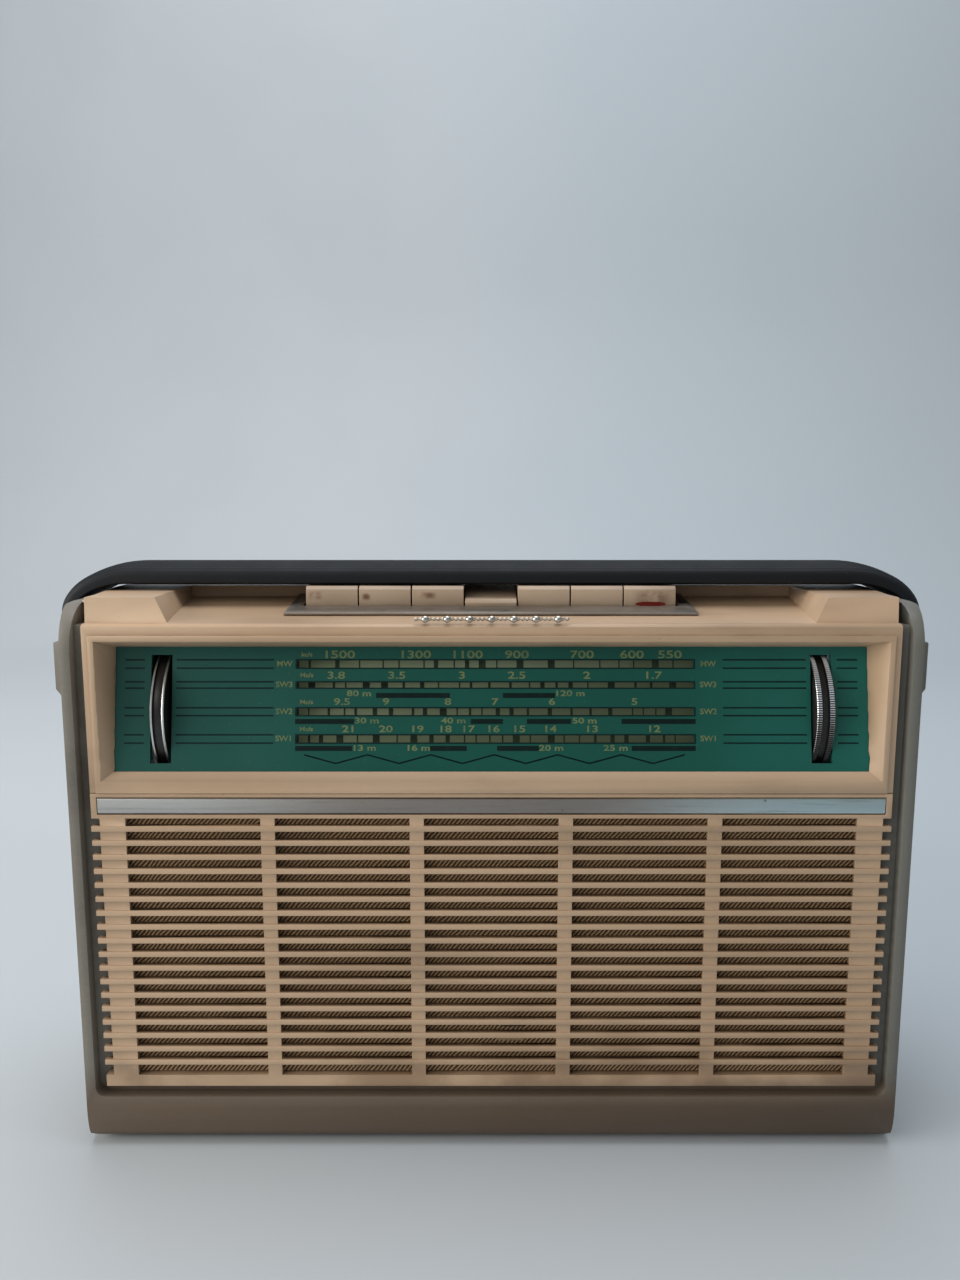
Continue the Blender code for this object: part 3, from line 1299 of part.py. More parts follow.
def handle_strap():
    end = GUIDE_TOP - GUIDE_POCKET + STRAP_END_CLEARANCE
    outer = strap_side(STRAP_CORNER_X, STRAP_CORNER_Z, end)
    inner_x = STRAP_CORNER_X - STRAP_SIDE_THICKNESS
    inner = strap_side(inner_x, STRAP_CORNER_Z - STRAP_THICKNESS, end)
    ring = mirrored(outer) + mirrored(inner)[::-1]
    half = STRAP_WIDTH / 2
    node("handle_strap", prism(ring, Y, -half, half), STRAP)


def handle_guides():
    """Wedge-shaped pockets on the sides, in which the strap's ends slide when it is lifted."""
    inner = SHELL_SIDE + GAP
    outer = STRAP_OUTSIDE + GUIDE_CLEARANCE + GUIDE_WALL
    bottom = GUIDE_TOP - GUIDE_HEIGHT
    half = STRAP_WIDTH / 2 + GUIDE_CLEARANCE / 2
    wall = half + GUIDE_SIDE_WALL
    for name, side in (("handle_guide_left", -1), ("handle_guide_right", 1)):
        outline = [
            (side * inner, GUIDE_TOP),
            (side * outer, GUIDE_TOP),
            (side * outer, GUIDE_TOP - GUIDE_POCKET - GUIDE_WALL),
            (side * (inner + GUIDE_FOOT), bottom),
            (side * inner, bottom),
        ]
        guide = node(name, prism(outline, Y, -wall, wall), GREY)
        ends = sorted((side * (STRAP_INSIDE - GUIDE_CLEARANCE), side * (STRAP_OUTSIDE + GUIDE_CLEARANCE)))
        low = (ends[0], -half, GUIDE_TOP - GUIDE_POCKET)
        combine(guide, box(low, (ends[1], half, GUIDE_TOP + PAST)))


def build():
    case_shell()
    feet()
    top_bezel()
    speaker_grille()
    trim_bar()
    cloth_and_baffle()
    dial_glass()
    dial_plate()
    dial_pointer()
    pointer_rail()
    thumbwheels()
    wheel_brackets()
    keys()
    key_switch()
    key_plate()
    badge_bar()
    speaker()
    battery_holder()
    battery_cells()
    battery_contacts()
    chassis_board()
    board_parts()
    ferrite_aerial()
    tuning_capacitor()
    back_cover()
    cover_screws()
    handle_strap()
    handle_guides()


for old in list(bpy.data.objects):
    bpy.data.objects.remove(old, do_unlink=True)
build()
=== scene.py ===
"""Looks of the portable radio: finishes, dial print, wheels, strap, grille cloth, light and camera.

Everything is in metres in the frame's own axes: the dial faces -Y and +Z is up.
"""

import json
import math
import random

import bmesh
import bpy
from mathutils import Matrix, Vector


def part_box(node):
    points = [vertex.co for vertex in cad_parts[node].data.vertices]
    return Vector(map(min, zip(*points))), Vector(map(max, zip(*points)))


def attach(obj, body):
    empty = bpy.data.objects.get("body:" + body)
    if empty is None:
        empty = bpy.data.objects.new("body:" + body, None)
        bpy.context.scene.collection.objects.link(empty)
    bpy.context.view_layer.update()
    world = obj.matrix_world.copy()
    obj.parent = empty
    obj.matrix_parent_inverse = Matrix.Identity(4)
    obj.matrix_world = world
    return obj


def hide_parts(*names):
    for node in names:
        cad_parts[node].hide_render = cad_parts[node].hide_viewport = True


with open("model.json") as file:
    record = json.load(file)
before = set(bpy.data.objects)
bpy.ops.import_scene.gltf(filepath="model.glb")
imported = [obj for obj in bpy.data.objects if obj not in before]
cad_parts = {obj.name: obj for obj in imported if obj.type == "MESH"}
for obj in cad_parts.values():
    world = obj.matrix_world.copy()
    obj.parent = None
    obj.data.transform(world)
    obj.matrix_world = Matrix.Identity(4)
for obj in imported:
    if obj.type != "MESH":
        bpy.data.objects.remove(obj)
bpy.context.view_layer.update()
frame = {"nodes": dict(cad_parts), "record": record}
nodes = frame["nodes"]
random.seed(7)

MM = 0.001


def srgb(red, green, blue):
    """A display colour, 0 to 255, as linear red, green, blue and alpha."""
    linear = []
    for value in (red / 255, green / 255, blue / 255):
        linear.append(value / 12.92 if value <= 0.04045 else ((value + 0.055) / 1.055) ** 2.4)
    return (*linear, 1.0)


# Smudges on the fronts of the keys: middle X and Z and half sizes in millimetres, then strength
SMUDGES = [
    (-68.0, 212.2, 3.4, 2.2, 0.75),
    (-48.2, 211.8, 2.2, 1.8, 0.95),
    (-24.2, 212.2, 3.8, 1.8, 0.9),
    (63.0, 211.2, 9.0, 4.0, 0.7),
]

TWILL_PITCH = 1.7 * MM
TWILL_SLANT = 0.85
WEFT_PITCH = 0.62 * MM

CELL_BAND_PITCH = 30.5 * MM

# A small tear in the cloth, painted dark as the shade seen through it, and the worn patch below it: low
# and high X, low and high Z, in millimetres, then the colour
CLOTH_MARKS = [
    (4.3, 13.6, 48.4, 50.4, srgb(34, 24, 16)),
    (2.6, 13.0, 42.6, 45.0, srgb(176, 148, 108)),
]

# Node trees


class Finish:
    """A material with a Principled shader, and short calls for the nodes that feed it."""

    def __init__(self, name, colour, roughness, metallic=0.0):
        self.material = bpy.data.materials.new(name)
        self.material.use_nodes = True
        self.tree = self.material.node_tree
        self.shader = self.tree.nodes["Principled BSDF"]
        self.shader.inputs["Base Color"].default_value = colour
        self.shader.inputs["Roughness"].default_value = roughness
        self.shader.inputs["Metallic"].default_value = metallic
        self.place = self.tree.nodes.new("ShaderNodeTexCoord").outputs["Object"]
        self.height = None

    def node(self, kind, **values):
        made = self.tree.nodes.new(kind)
        for name, value in values.items():
            setattr(made, name, value)
        return made

    def feed(self, socket, value):
        if isinstance(value, bpy.types.NodeSocket):
            self.tree.links.new(value, socket)
        else:
            socket.default_value = value

    def math(self, operation, first, second=0.0, third=None):
        made = self.node("ShaderNodeMath", operation=operation)
        self.feed(made.inputs[0], first)
        self.feed(made.inputs[1], second)
        if third is not None:
            self.feed(made.inputs[2], third)
        return made.outputs[0]

    def stretched(self, scale):
        made = self.node("ShaderNodeMapping")
        self.feed(made.inputs["Vector"], self.place)
        made.inputs["Scale"].default_value = scale
        return made.outputs["Vector"]

    def axes(self):
        made = self.node("ShaderNodeSeparateXYZ")
        self.feed(made.inputs[0], self.place)
        return made.outputs

    def noise(self, scale, detail=3.0, stretch=(1, 1, 1), roughness=0.5):
        made = self.node("ShaderNodeTexNoise")
        self.feed(made.inputs["Vector"], self.stretched(stretch))
        made.inputs["Scale"].default_value = scale
        made.inputs["Detail"].default_value = detail
        made.inputs["Roughness"].default_value = roughness
        return made.outputs["Fac"]

    def spots(self, scale, threshold, soft=0.06):
        """1 inside small irregular spots, 0 elsewhere."""
        made = self.node("ShaderNodeTexVoronoi")
        self.feed(made.inputs["Vector"], self.stretched((1, 1, 1)))
        made.inputs["Scale"].default_value = scale
        return self.between(made.outputs["Distance"], threshold + soft, threshold)

    def between(self, value, low, high):
        """Runs smoothly from 0 at low to 1 at high."""
        made = self.node("ShaderNodeMapRange", interpolation_type="SMOOTHSTEP")
        self.feed(made.inputs["Value"], value)
        swap = low > high
        made.inputs["From Min"].default_value = high if swap else low
        made.inputs["From Max"].default_value = low if swap else high
        made.inputs["To Min"].default_value = 1.0 if swap else 0.0
        made.inputs["To Max"].default_value = 0.0 if swap else 1.0
        return made.outputs["Result"]

    def near(self, value, middle, reach, flat):
        """1 where the value is within flat of the middle, falling to 0 at reach from it."""
        distance = self.math("ABSOLUTE", self.math("SUBTRACT", value, middle))
        return self.between(distance, reach, flat)

    def tint(self, factor, colour, strength=1.0):
        """Mixes a colour over what the base colour is so far."""
        base = self.shader.inputs["Base Color"]
        made = self.node("ShaderNodeMix", data_type="RGBA")
        self.feed(made.inputs["Factor"], self.math("MULTIPLY", factor, strength))
        first, second = made.inputs[6], made.inputs[7]
        if base.links:
            self.feed(first, base.links[0].from_socket)
        else:
            first.default_value = tuple(base.default_value)
        self.feed(second, colour)
        self.tree.links.new(made.outputs[2], base)
        return self

    def rough(self, factor, low, high):
        made = self.node("ShaderNodeMapRange")
        self.feed(made.inputs["Value"], factor)
        made.inputs["To Min"].default_value = low
        made.inputs["To Max"].default_value = high
        self.feed(self.shader.inputs["Roughness"], made.outputs["Result"])
        return self

    def bump(self, height, depth):
        """Adds a height from 0 to 1 over a depth in metres."""
        made = self.node("ShaderNodeBump")
        made.inputs["Distance"].default_value = depth
        self.feed(made.inputs["Height"], height)
        normal = self.shader.inputs["Normal"]
        if normal.links:
            self.feed(made.inputs["Normal"], normal.links[0].from_socket)
        self.tree.links.new(made.outputs["Normal"], normal)
        return self

    def grime_and_painted_shade(self, colour, reach, strength):
        """Dirt and painted shade: darkens the corners and crevices that ambient occlusion finds, broken
        up by noise.
        """
        made = self.node("ShaderNodeAmbientOcclusion", samples=6)
        made.inputs["Distance"].default_value = reach
        # painted shade: occluded corners and crevices take the darker colour
        closed = self.between(made.outputs["AO"], 0.85, 0.25)
        patchy = self.between(self.noise(70, 4), 0.25, 0.7)
        return self.tint(self.math("MULTIPLY", closed, patchy), colour, strength)

    def set(self, **values):
        for name, value in values.items():
            self.shader.inputs[name.replace("_", " ")].default_value = value
        return self


def aged_plastic(name, colour, shade, stain, roughness):
    """Moulded plastic with soft mottling, flow streaks, small specks, and dirt with painted shade in the
    corners.
    """
    made = Finish(name, colour, roughness)
    made.tint(made.between(made.noise(9, 3), 0.35, 0.7), shade, 0.55)
    made.tint(made.between(made.noise(26, 5, stretch=(0.35, 1, 1)), 0.52, 0.72), stain, 0.28)
    sparse = made.between(made.noise(30, 2), 0.56, 0.7)
    made.tint(made.math("MULTIPLY", made.spots(330, 0.06), sparse), stain, 0.4)
    # dirt and painted shade darken the corners and crevices
    made.grime_and_painted_shade(stain, 0.004, 0.75)
    made.rough(made.noise(60, 4), roughness - 0.09, roughness + 0.12)
    made.bump(made.noise(1500, 2), 0.00003)
    made.bump(made.noise(220, 3), 0.00004)
    return made


def beige_plastic():
    """The front mouldings: yellowed, and darker and browner in patches towards the bottom."""
    yellowed, shade, stain = srgb(196, 167, 137), srgb(183, 152, 120), srgb(92, 66, 44)
    made = aged_plastic("aged beige plastic", yellowed, shade, stain, 0.42)
    height = made.axes()[2]
    # darker and browner in patches towards the bottom
    low = made.between(height, 0.055, 0.022)
    patch = made.between(made.noise(34, 5), 0.42, 0.66)
    made.tint(made.math("MULTIPLY", low, patch), srgb(104, 76, 50), 0.5)
    return made.material


def grey_plastic_with_painted_shade():
    """The shell: fine-grained, with painted shade that makes it darker and cooler towards the right and
    darker and browner at the foot.
    """
    grey, shade, stain = srgb(130, 125, 115), srgb(114, 108, 98), srgb(44, 33, 23)
    made = aged_plastic("grey shell plastic", grey, shade, stain, 0.5)
    made.tint(made.between(made.noise(700, 2), 0.5, 0.75), srgb(150, 144, 132), 0.2)
    across, _, height = made.axes()
    # painted shade: darker and cooler towards the right, away from the light
    made.tint(made.between(across, 0.10, 0.17), srgb(96, 100, 96), 0.6)
    # painted shade: darker and browner at the foot, standing in for brown light bounced up under it
    worn = made.between(height, 0.034, 0.016)
    made.tint(worn, srgb(88, 68, 48), 0.85)
    made.bump(made.noise(900, 2), 0.00006)
    return made.material


def brushed_metal(name, colour, streak, roughness=0.3):
    made = Finish(name, colour, roughness, 1.0)
    fine = made.noise(900, 3, stretch=(0.02, 1, 1))
    broad = made.noise(60, 3, stretch=(0.15, 1, 1))
    made.tint(made.between(fine, 0.4, 0.7), streak, 0.5)
    made.tint(made.between(broad, 0.55, 0.75), srgb(120, 116, 108), 0.35)
    made.rough(fine, roughness - 0.08, roughness + 0.16)
    made.bump(fine, 0.00002)
    made.set(Anisotropic=0.5)
    return made.material


def trim_metal_with_painted_reflection():
    """Brushed trim: warmer and darker in the middle, with a painted bluish reflection towards the right,
    and a few fine scratches.
    """
    made = Finish("brushed trim bar with painted reflection", srgb(188, 186, 182), 0.34, 1.0)
    across = made.axes()[0]
    # warmer and darker in the middle
    middle = made.near(across, -0.01, 0.11, 0.03)
    made.tint(middle, srgb(146, 136, 128), 0.85)
    # painted reflection: lighter and bluer towards the right end
    made.tint(made.between(across, 0.04, 0.12), srgb(206, 228, 230), 0.85)
    fine = made.noise(900, 3, stretch=(0.03, 1, 1))
    made.tint(made.between(fine, 0.5, 0.75), srgb(120, 112, 104), 0.35)
    made.tint(made.spots(150, 0.05), srgb(92, 82, 74), 0.5)
    made.rough(fine, 0.26, 0.48)
    made.bump(fine, 0.00002)
    made.set(Anisotropic=0.5)
    return made.material


def plate_metal():
    made = Finish("dulled key plate", srgb(160, 152, 142), 0.42, 1.0)
    made.tint(made.between(made.noise(50, 4, stretch=(0.2, 1, 1)), 0.45, 0.7), srgb(116, 104, 90), 0.6)
    made.rough(made.noise(300, 3), 0.34, 0.56)
    made.bump(made.noise(900, 3, stretch=(0.03, 1, 1)), 0.00002)
    return made.material


def key_plastic():
    """Ivory keys, greyer than the case, with a few finger smudges on the fronts."""
    ivory, shade, stain = srgb(196, 174, 150), srgb(184, 160, 134), srgb(96, 70, 48)
    made = aged_plastic("aged key plastic", ivory, shade, stain, 0.4)
    across, _, height = made.axes()
    blur = made.between(made.noise(260, 4), 0.3, 0.55)
    for x, z, half_x, half_z, strength in SMUDGES:
        near_x = made.near(across, x * MM, half_x * MM, 0.2 * half_x * MM)
        near_z = made.near(height, z * MM, half_z * MM, 0.2 * half_z * MM)
        spot = made.math("MULTIPLY", made.math("MULTIPLY", near_x, near_z), blur)
        made.tint(spot, srgb(112, 78, 56), strength)
    return made.material


def plain_metal(name, colour, roughness):
    made = Finish(name, colour, roughness, 1.0)
    made.tint(made.between(made.noise(120, 4), 0.5, 0.75), srgb(96, 86, 74), 0.35)
    made.rough(made.noise(200, 3), roughness - 0.06, roughness + 0.15)
    made.bump(made.noise(700, 2), 0.00002)
    return made.material


def moulded(name, colour, roughness, shade=None):
    made = Finish(name, colour, roughness)
    made.tint(made.between(made.noise(45, 4), 0.4, 0.7), shade or srgb(60, 55, 50), 0.3)
    made.rough(made.noise(150, 3), roughness - 0.08, roughness + 0.1)
    made.bump(made.noise(900, 2), 0.00003)
    return made


def dial_green_with_painted_reflection():
    """Green paint behind glass: the coat is the glass's own polished surface, and painted reflections
    make it greyer towards the left and lighter towards the right.
    """
    made = Finish("green dial glass with painted reflection", srgb(16, 86, 74), 0.5)
    across = made.axes()[0]
    # painted reflection: greyer towards the left and lighter towards the right
    made.tint(made.between(across, -0.02, -0.13), srgb(40, 90, 82), 0.8)
    made.tint(made.between(across, 0.05, 0.14), srgb(34, 112, 100), 0.7)
    made.tint(made.between(made.noise(14, 4), 0.4, 0.7), srgb(13, 76, 66), 0.45)
    made.tint(made.spots(260, 0.05), srgb(84, 108, 96), 0.25)
    made.rough(made.noise(30, 3), 0.35, 0.55)
    made.bump(made.noise(6, 1), 0.0002)
    made.set(Coat_Weight=0.35, Coat_Roughness=0.08, Specular_IOR_Level=0.15)
    return made.material


def print_ink(name, colour, worn):
    made = Finish(name, colour, 0.5)
    made.tint(made.between(made.noise(260, 4), 0.45, 0.7), worn, 0.5)
    made.rough(made.noise(90, 2), 0.4, 0.6)
    made.set(Specular_IOR_Level=0.15)
    return made.material


def woven_cloth():
    """Diagonal twill of brown yarn with golden strokes, dusty patches, and one small tear painted dark as
    the shade seen through it.
    """
    made = Finish("woven grille cloth", srgb(70, 48, 30), 0.85)
    x, _, z = made.axes()
    wobble = made.math("MULTIPLY", made.noise(130, 3), 0.002)
    slanted = made.math("SUBTRACT", x, made.math("MULTIPLY", z, TWILL_SLANT))
    along = made.math("ADD", slanted, wobble)
    twill = made.math("SINE", made.math("MULTIPLY", along, math.tau / TWILL_PITCH))
    cross = made.math("SINE", made.math("MULTIPLY", z, math.tau / WEFT_PITCH))
    cell = made.math("MULTIPLY", made.between(twill, -0.25, 0.45), made.between(cross, -2.4, 0.2))
    made.tint(cell, srgb(206, 168, 118), 0.85)
    patch = made.between(made.noise(40, 3), 0.5, 0.72)
    made.tint(made.math("MULTIPLY", cell, patch), srgb(214, 182, 130), 0.5)
    made.tint(made.between(made.noise(22, 4), 0.5, 0.75), srgb(58, 40, 26), 0.45)
    # the tear's dark patch is painted shade; the paler patch below it is wear
    for low_x, high_x, low_z, high_z, colour in CLOTH_MARKS:
        half_x, half_z = (high_x - low_x) / 2 * MM, (high_z - low_z) / 2 * MM
        inside_x = made.near(x, low_x * MM + half_x, half_x, half_x - 0.5 * MM)
        inside_z = made.near(z, low_z * MM + half_z, half_z, half_z - 0.3 * MM)
        made.tint(made.math("MULTIPLY", inside_x, inside_z), colour, 0.85)
    made.bump(cell, 0.0003)
    made.set(Sheen_Weight=0.15, Sheen_Roughness=0.5)
    return made.material


def dial_card_with_painted_glow():
    """Pale card behind the scale windows, with a faint painted glow from emission."""
    made = moulded("pale dial card with painted glow", srgb(128, 140, 112), 0.6, srgb(104, 116, 90))
    # painted light: a faint emission makes the card glow
    made.set(Emission_Color=srgb(140, 152, 118), Emission_Strength=0.1)
    return made.material


def strap_cover():
    made = Finish("black ribbed strap", srgb(15, 20, 25), 0.6)
    made.tint(made.between(made.noise(30, 4, stretch=(0.3, 1, 1)), 0.45, 0.7), srgb(24, 30, 36), 0.6)
    made.tint(made.spots(330, 0.04), srgb(84, 84, 84), 0.25)
    made.rough(made.noise(80, 4), 0.5, 0.72)
    made.bump(made.noise(800, 3), 0.00006)
    made.set(Specular_IOR_Level=0.3)
    return made.material


def wheel_metal():
    made = Finish("milled silver band", srgb(240, 240, 240), 0.3, 1.0)
    made.tint(made.between(made.noise(300, 3), 0.55, 0.8), srgb(120, 116, 110), 0.35)
    made.rough(made.noise(400, 2), 0.24, 0.44)
    return made.material


def cell_jacket():
    """Blue paper jackets with a pale band round each end."""
    made = Finish("plain cell jacket", srgb(44, 52, 96), 0.35)
    along = made.math("SINE", made.math("MULTIPLY", made.axes()[0], math.tau / CELL_BAND_PITCH))
    made.tint(made.between(along, 0.86, 0.9), srgb(196, 178, 128), 0.9)
    made.tint(made.between(made.noise(90, 4), 0.5, 0.75), srgb(26, 30, 52), 0.4)
    made.rough(made.noise(120, 2), 0.28, 0.45)
    return made.material


def circuit_board():
    """Brown board with paler tracks between irregular islands."""
    made = Finish("phenolic board", srgb(150, 108, 60), 0.5)
    tracks = made.node("ShaderNodeTexVoronoi", feature="DISTANCE_TO_EDGE")
    made.feed(tracks.inputs["Vector"], made.stretched((1, 1, 1)))
    tracks.inputs["Scale"].default_value = 95
    made.tint(made.between(tracks.outputs["Distance"], 0.09, 0.05), srgb(168, 120, 70), 0.8)
    made.tint(made.between(made.noise(60, 4), 0.5, 0.75), srgb(110, 74, 38), 0.5)
    made.bump(made.noise(500, 2), 0.00003)
    return made.material


FINISHES = {
    "shell": grey_plastic_with_painted_shade(),
    "beige": beige_plastic(),
    "brushed": brushed_metal("brushed aluminium", srgb(196, 198, 198), srgb(226, 228, 228)),
    "chrome": plain_metal("dulled chrome", srgb(196, 192, 184), 0.24),
    "cloth": woven_cloth(),
    "hardboard": moulded("raw hardboard", srgb(96, 70, 46), 0.85, srgb(60, 42, 28)).material,
    "dial_glass": dial_green_with_painted_reflection(),
    "dial_backing": dial_card_with_painted_glow(),
    "black": moulded("satin black plastic", srgb(30, 29, 28), 0.45).material,
    "wheel_black": moulded("black wheel", srgb(24, 22, 22), 0.35).material,
    "steel": plain_metal("plated steel", srgb(170, 170, 166), 0.34),
    "aluminium": plain_metal("satin aluminium", srgb(196, 196, 194), 0.38),
    "cone_paper": moulded("cone paper", srgb(52, 48, 44), 0.9).material,
    "circuit_board": circuit_board(),
    "ferrite": moulded("ground ferrite", srgb(44, 42, 42), 0.6).material,
    "cell_jacket": cell_jacket(),
    "strap": strap_cover(),
    "rubber": moulded("black rubber", srgb(28, 27, 26), 0.85).material,
}
NODE_FINISHES = {"trim_bar": trim_metal_with_painted_reflection(), "key_plate": plate_metal()}
KEY_FINISH = key_plastic()
WHEEL_SILVER = wheel_metal()
DARK_PRINT = print_ink("dark dial print", srgb(8, 38, 37), srgb(14, 50, 46))
PALE_PRINT = print_ink("pale dial print", srgb(116, 130, 90), srgb(72, 104, 78))
DEEP_PRINT = print_ink("deep dial print", srgb(8, 30, 28), srgb(16, 42, 38))
TICK_PRINT = print_ink("soft scale ticks", srgb(64, 80, 62), srgb(82, 98, 74))
RED_MARK = print_ink("red mark", srgb(114, 32, 24), srgb(116, 54, 40))

KEY_NAMES = [f"key_{number}" for number in range(1, 8)]
SHARP_ANGLE = math.radians(28)
BEVEL_ANGLE = math.radians(30)
WELD_DISTANCE = 0.01 * MM
# Widths of the rounded edges, by material slot and for single nodes
SLOT_EDGES = {"beige": 0.35 * MM, "shell": 0.6 * MM, "brushed": 0.15 * MM, "black": 0.25 * MM}
NODE_EDGES = {"speaker_grille": 0.3 * MM, "top_bezel": 0.45 * MM, **dict.fromkeys(KEY_NAMES, 0.8 * MM)}


def dress_nodes():
    """Gives every CAD node its finish, and crisp moulded edges where it stays in view."""
    slots = {part["node"]: part["material_slot"] for part in frame["record"]["subparts"]}
    for name, node in nodes.items():
        node.data.materials.clear()
        finish = KEY_FINISH if name in KEY_NAMES else NODE_FINISHES.get(name, FINISHES[slots[name]])
        node.data.materials.append(finish)
        node.data.shade_smooth()
        node.data.set_sharp_from_angle(angle=SHARP_ANGLE)
        weld = node.modifiers.new("weld", "WELD")
        weld.merge_threshold = WELD_DISTANCE
        width = NODE_EDGES.get(name, SLOT_EDGES.get(slots[name]))
        if width:
            bevel = node.modifiers.new("edges", "BEVEL")
            bevel.width = width
            bevel.segments = 2
            bevel.limit_method = "ANGLE"
            bevel.angle_limit = BEVEL_ANGLE
            bevel.harden_normals = True


# Making pieces


def add_to_scene(name, data):
    made = bpy.data.objects.new(name, data)
    bpy.context.scene.collection.objects.link(made)
    return made


def piece(name, shape, finish, body, smooth=None, place=None):
    """Turns a bmesh into a piece that rides on a body."""
    bmesh.ops.recalc_face_normals(shape, faces=shape.faces)
    mesh = bpy.data.meshes.new(name)
    shape.to_mesh(mesh)
    shape.free()
    if place is not None:
        mesh.transform(place)
    made = add_to_scene(name, mesh)
    for each in finish if isinstance(finish, (list, tuple)) else (finish,):
        mesh.materials.append(each)
    if smooth is not None:
        mesh.shade_smooth()
        mesh.set_sharp_from_angle(angle=math.radians(smooth))
    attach(made, body)
    return made


def add_box(shape, low, high):
    """Adds a box between two opposite corners."""
    corners = []
    for x in (low[0], high[0]):
        for y in (low[1], high[1]):
            corners += [shape.verts.new((x, y, z)) for z in (low[2], high[2])]
    for face in ((0, 1, 3, 2), (4, 6, 7, 5), (0, 4, 5, 1), (2, 3, 7, 6), (0, 2, 6, 4), (1, 5, 7, 3)):
        shape.faces.new([corners[index] for index in face])


def join_rings(shape, rings):
    """Adds faces between closed rings of vertices that follow each other, and one over each end."""
    for first, second in zip(rings, rings[1:]):
        for index in range(len(first)):
            nearby = (index + 1) % len(first)
            shape.faces.new((first[index], first[nearby], second[nearby], second[index]))
    shape.faces.new(rings[0])
    shape.faces.new(rings[-1])


def pierced_panel(half_x, half_z, depth, holes):
    """A flat slab, X across and Z up, from Y = 0 to depth, with rectangular holes.

    A hole is its low X, high X, low Z and high Z.
    """
    xs = sorted({-half_x, half_x, *(h[0] for h in holes), *(h[1] for h in holes)})
    zs = sorted({-half_z, half_z, *(h[2] for h in holes), *(h[3] for h in holes)})

    def solid(column, row):
        if not (0 <= column < len(xs) - 1 and 0 <= row < len(zs) - 1):
            return False
        x = (xs[column] + xs[column + 1]) / 2
        z = (zs[row] + zs[row + 1]) / 2
        return not any(h[0] < x < h[1] and h[2] < z < h[3] for h in holes)

    shape = bmesh.new()
    verts = {}

    def vert(column, row, y):
        key = (column, row, y)
        if key not in verts:
            verts[key] = shape.verts.new((xs[column], y, zs[row]))
        return verts[key]

    for column in range(len(xs) - 1):
        for row in range(len(zs) - 1):
            if not solid(column, row):
                continue
            ring = [(column, row), (column + 1, row), (column + 1, row + 1), (column, row + 1)]
            for y in (0, depth):
                shape.faces.new([vert(*corner, y) for corner in ring])
            beyond = [(column, row - 1), (column + 1, row), (column, row + 1), (column - 1, row)]
            for index in range(4):
                if not solid(*beyond[index]):
                    first, second = ring[index], ring[(index + 1) % 4]
                    front = [vert(*first, 0), vert(*second, 0)]
                    shape.faces.new([*front, vert(*second, depth), vert(*first, depth)])
    return shape


# Dial

GLASS_LOW, GLASS_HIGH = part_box("dial_glass")
GLASS_THICKNESS = 1.8 * MM
# The glass leans back by the first of these over the second
DIAL_TILT = math.atan2(9.0 * MM, 45.3 * MM)
GLASS_HALF_X = (GLASS_HIGH.x - GLASS_LOW.x) / 2
GLASS_SPAN = (GLASS_HIGH.z - GLASS_LOW.z - GLASS_THICKNESS * math.sin(DIAL_TILT)) / math.cos(DIAL_TILT)
GLASS_MIDDLE = (GLASS_LOW + GLASS_HIGH) / 2
ON_DIAL = (
    Matrix.Translation(GLASS_MIDDLE)
    @ Matrix.Rotation(-DIAL_TILT, 4, "X")
    @ Matrix.Translation((0, -GLASS_THICKNESS / 2, 0))
)
PRINT_THICKNESS = 0.04 * MM
CARD_GAP = 2.8 * MM
STRIP_LOW = -72.8 * MM
STRIP_HIGH = 75.8 * MM
# Low and high Z of the four scale strips, from the middle of the glass
STRIPS = [
    (14.83 * MM, 18.55 * MM),
    (7.41 * MM, 10.38 * MM),
    (-2.77 * MM, 0.74 * MM),
    (-12.93 * MM, -9.24 * MM),
]
STRIP_LINE = 0.55 * MM
STRIP_RIM = 0.5 * MM
# Low and high X, low and high Z of the short dark bars, in millimetres
SHORT_BARS = [
    (-42.8, -15.4, 4.08, 5.93),
    (4.3, 23.6, 4.08, 5.93),
    (-72.8, -50.9, -5.54, -3.7),
    (-7.6, 4.3, -5.54, -3.7),
    (13.2, 29.5, -5.54, -3.7),
    (48.3, 75.8, -5.54, -3.7),
    (-72.7, -51.6, -15.51, -13.67),
    (-22.7, -9.1, -15.51, -13.67),
    (2.1, 17.6, -15.51, -13.67),
    (52.0, 75.7, -15.51, -13.67),
]
# Middle Z and height of a row in millimetres, then each entry with its middle X
NUMERALS = [
    (20.1, 2.7, [("1500", -56.7), ("1300", -28.4), ("1100", -9.1), ("900", 9.5)]),
    (20.1, 2.7, [("700", 33.7), ("600", 52.3), ("550", 66.4)]),
    (12.4, 2.5, [("3.8", -57.7), ("3.5", -35.1), ("3", -10.9), ("2.5", 9.5), ("2", 35.5), ("1.7", 60.0)]),
    (2.6, 2.3, [("9.5", -55.4), ("9", -39.1), ("8", -16.1), ("7", 1.3), ("6", 22.5), ("5", 53.2)]),
    (-7.5, 2.3, [("21", -52.8), ("20", -39.1), ("19", -27.6), ("18", -17.2), ("17", -8.7), ("16", 0.6)]),
    (-7.5, 2.3, [("15", 10.2), ("14", 21.7), ("13", 37.2), ("12", 60.2)]),
    (5.7, 2.0, [("80 m", -49.1), ("120 m", 29.1)]),
    (-4.4, 2.0, [("30 m", -46.2), ("40 m", -14.0), ("50 m", 34.6)]),
    (-14.5, 2.0, [("13 m", -47.2), ("16 m", -27.2), ("20 m", 22.2), ("25 m", 46.1)]),
]
BAND_LETTERS = [(16.7, "MW"), (9.0, "SW3"), (-1.0, "SW2"), (-11.0, "SW1")]
BAND_LETTER_PLACES = (-76.9 * MM, 80.6 * MM)
UNIT_PLACE = -68.6 * MM
UNIT_RISE = 3.5
SIDE_LINE = 0.6 * MM
SIDE_LINE_LEFT_END = -80.8 * MM
SIDE_LINE_RIGHT_END = 86 * MM
SIDE_LINE_MARGIN = 6 * MM
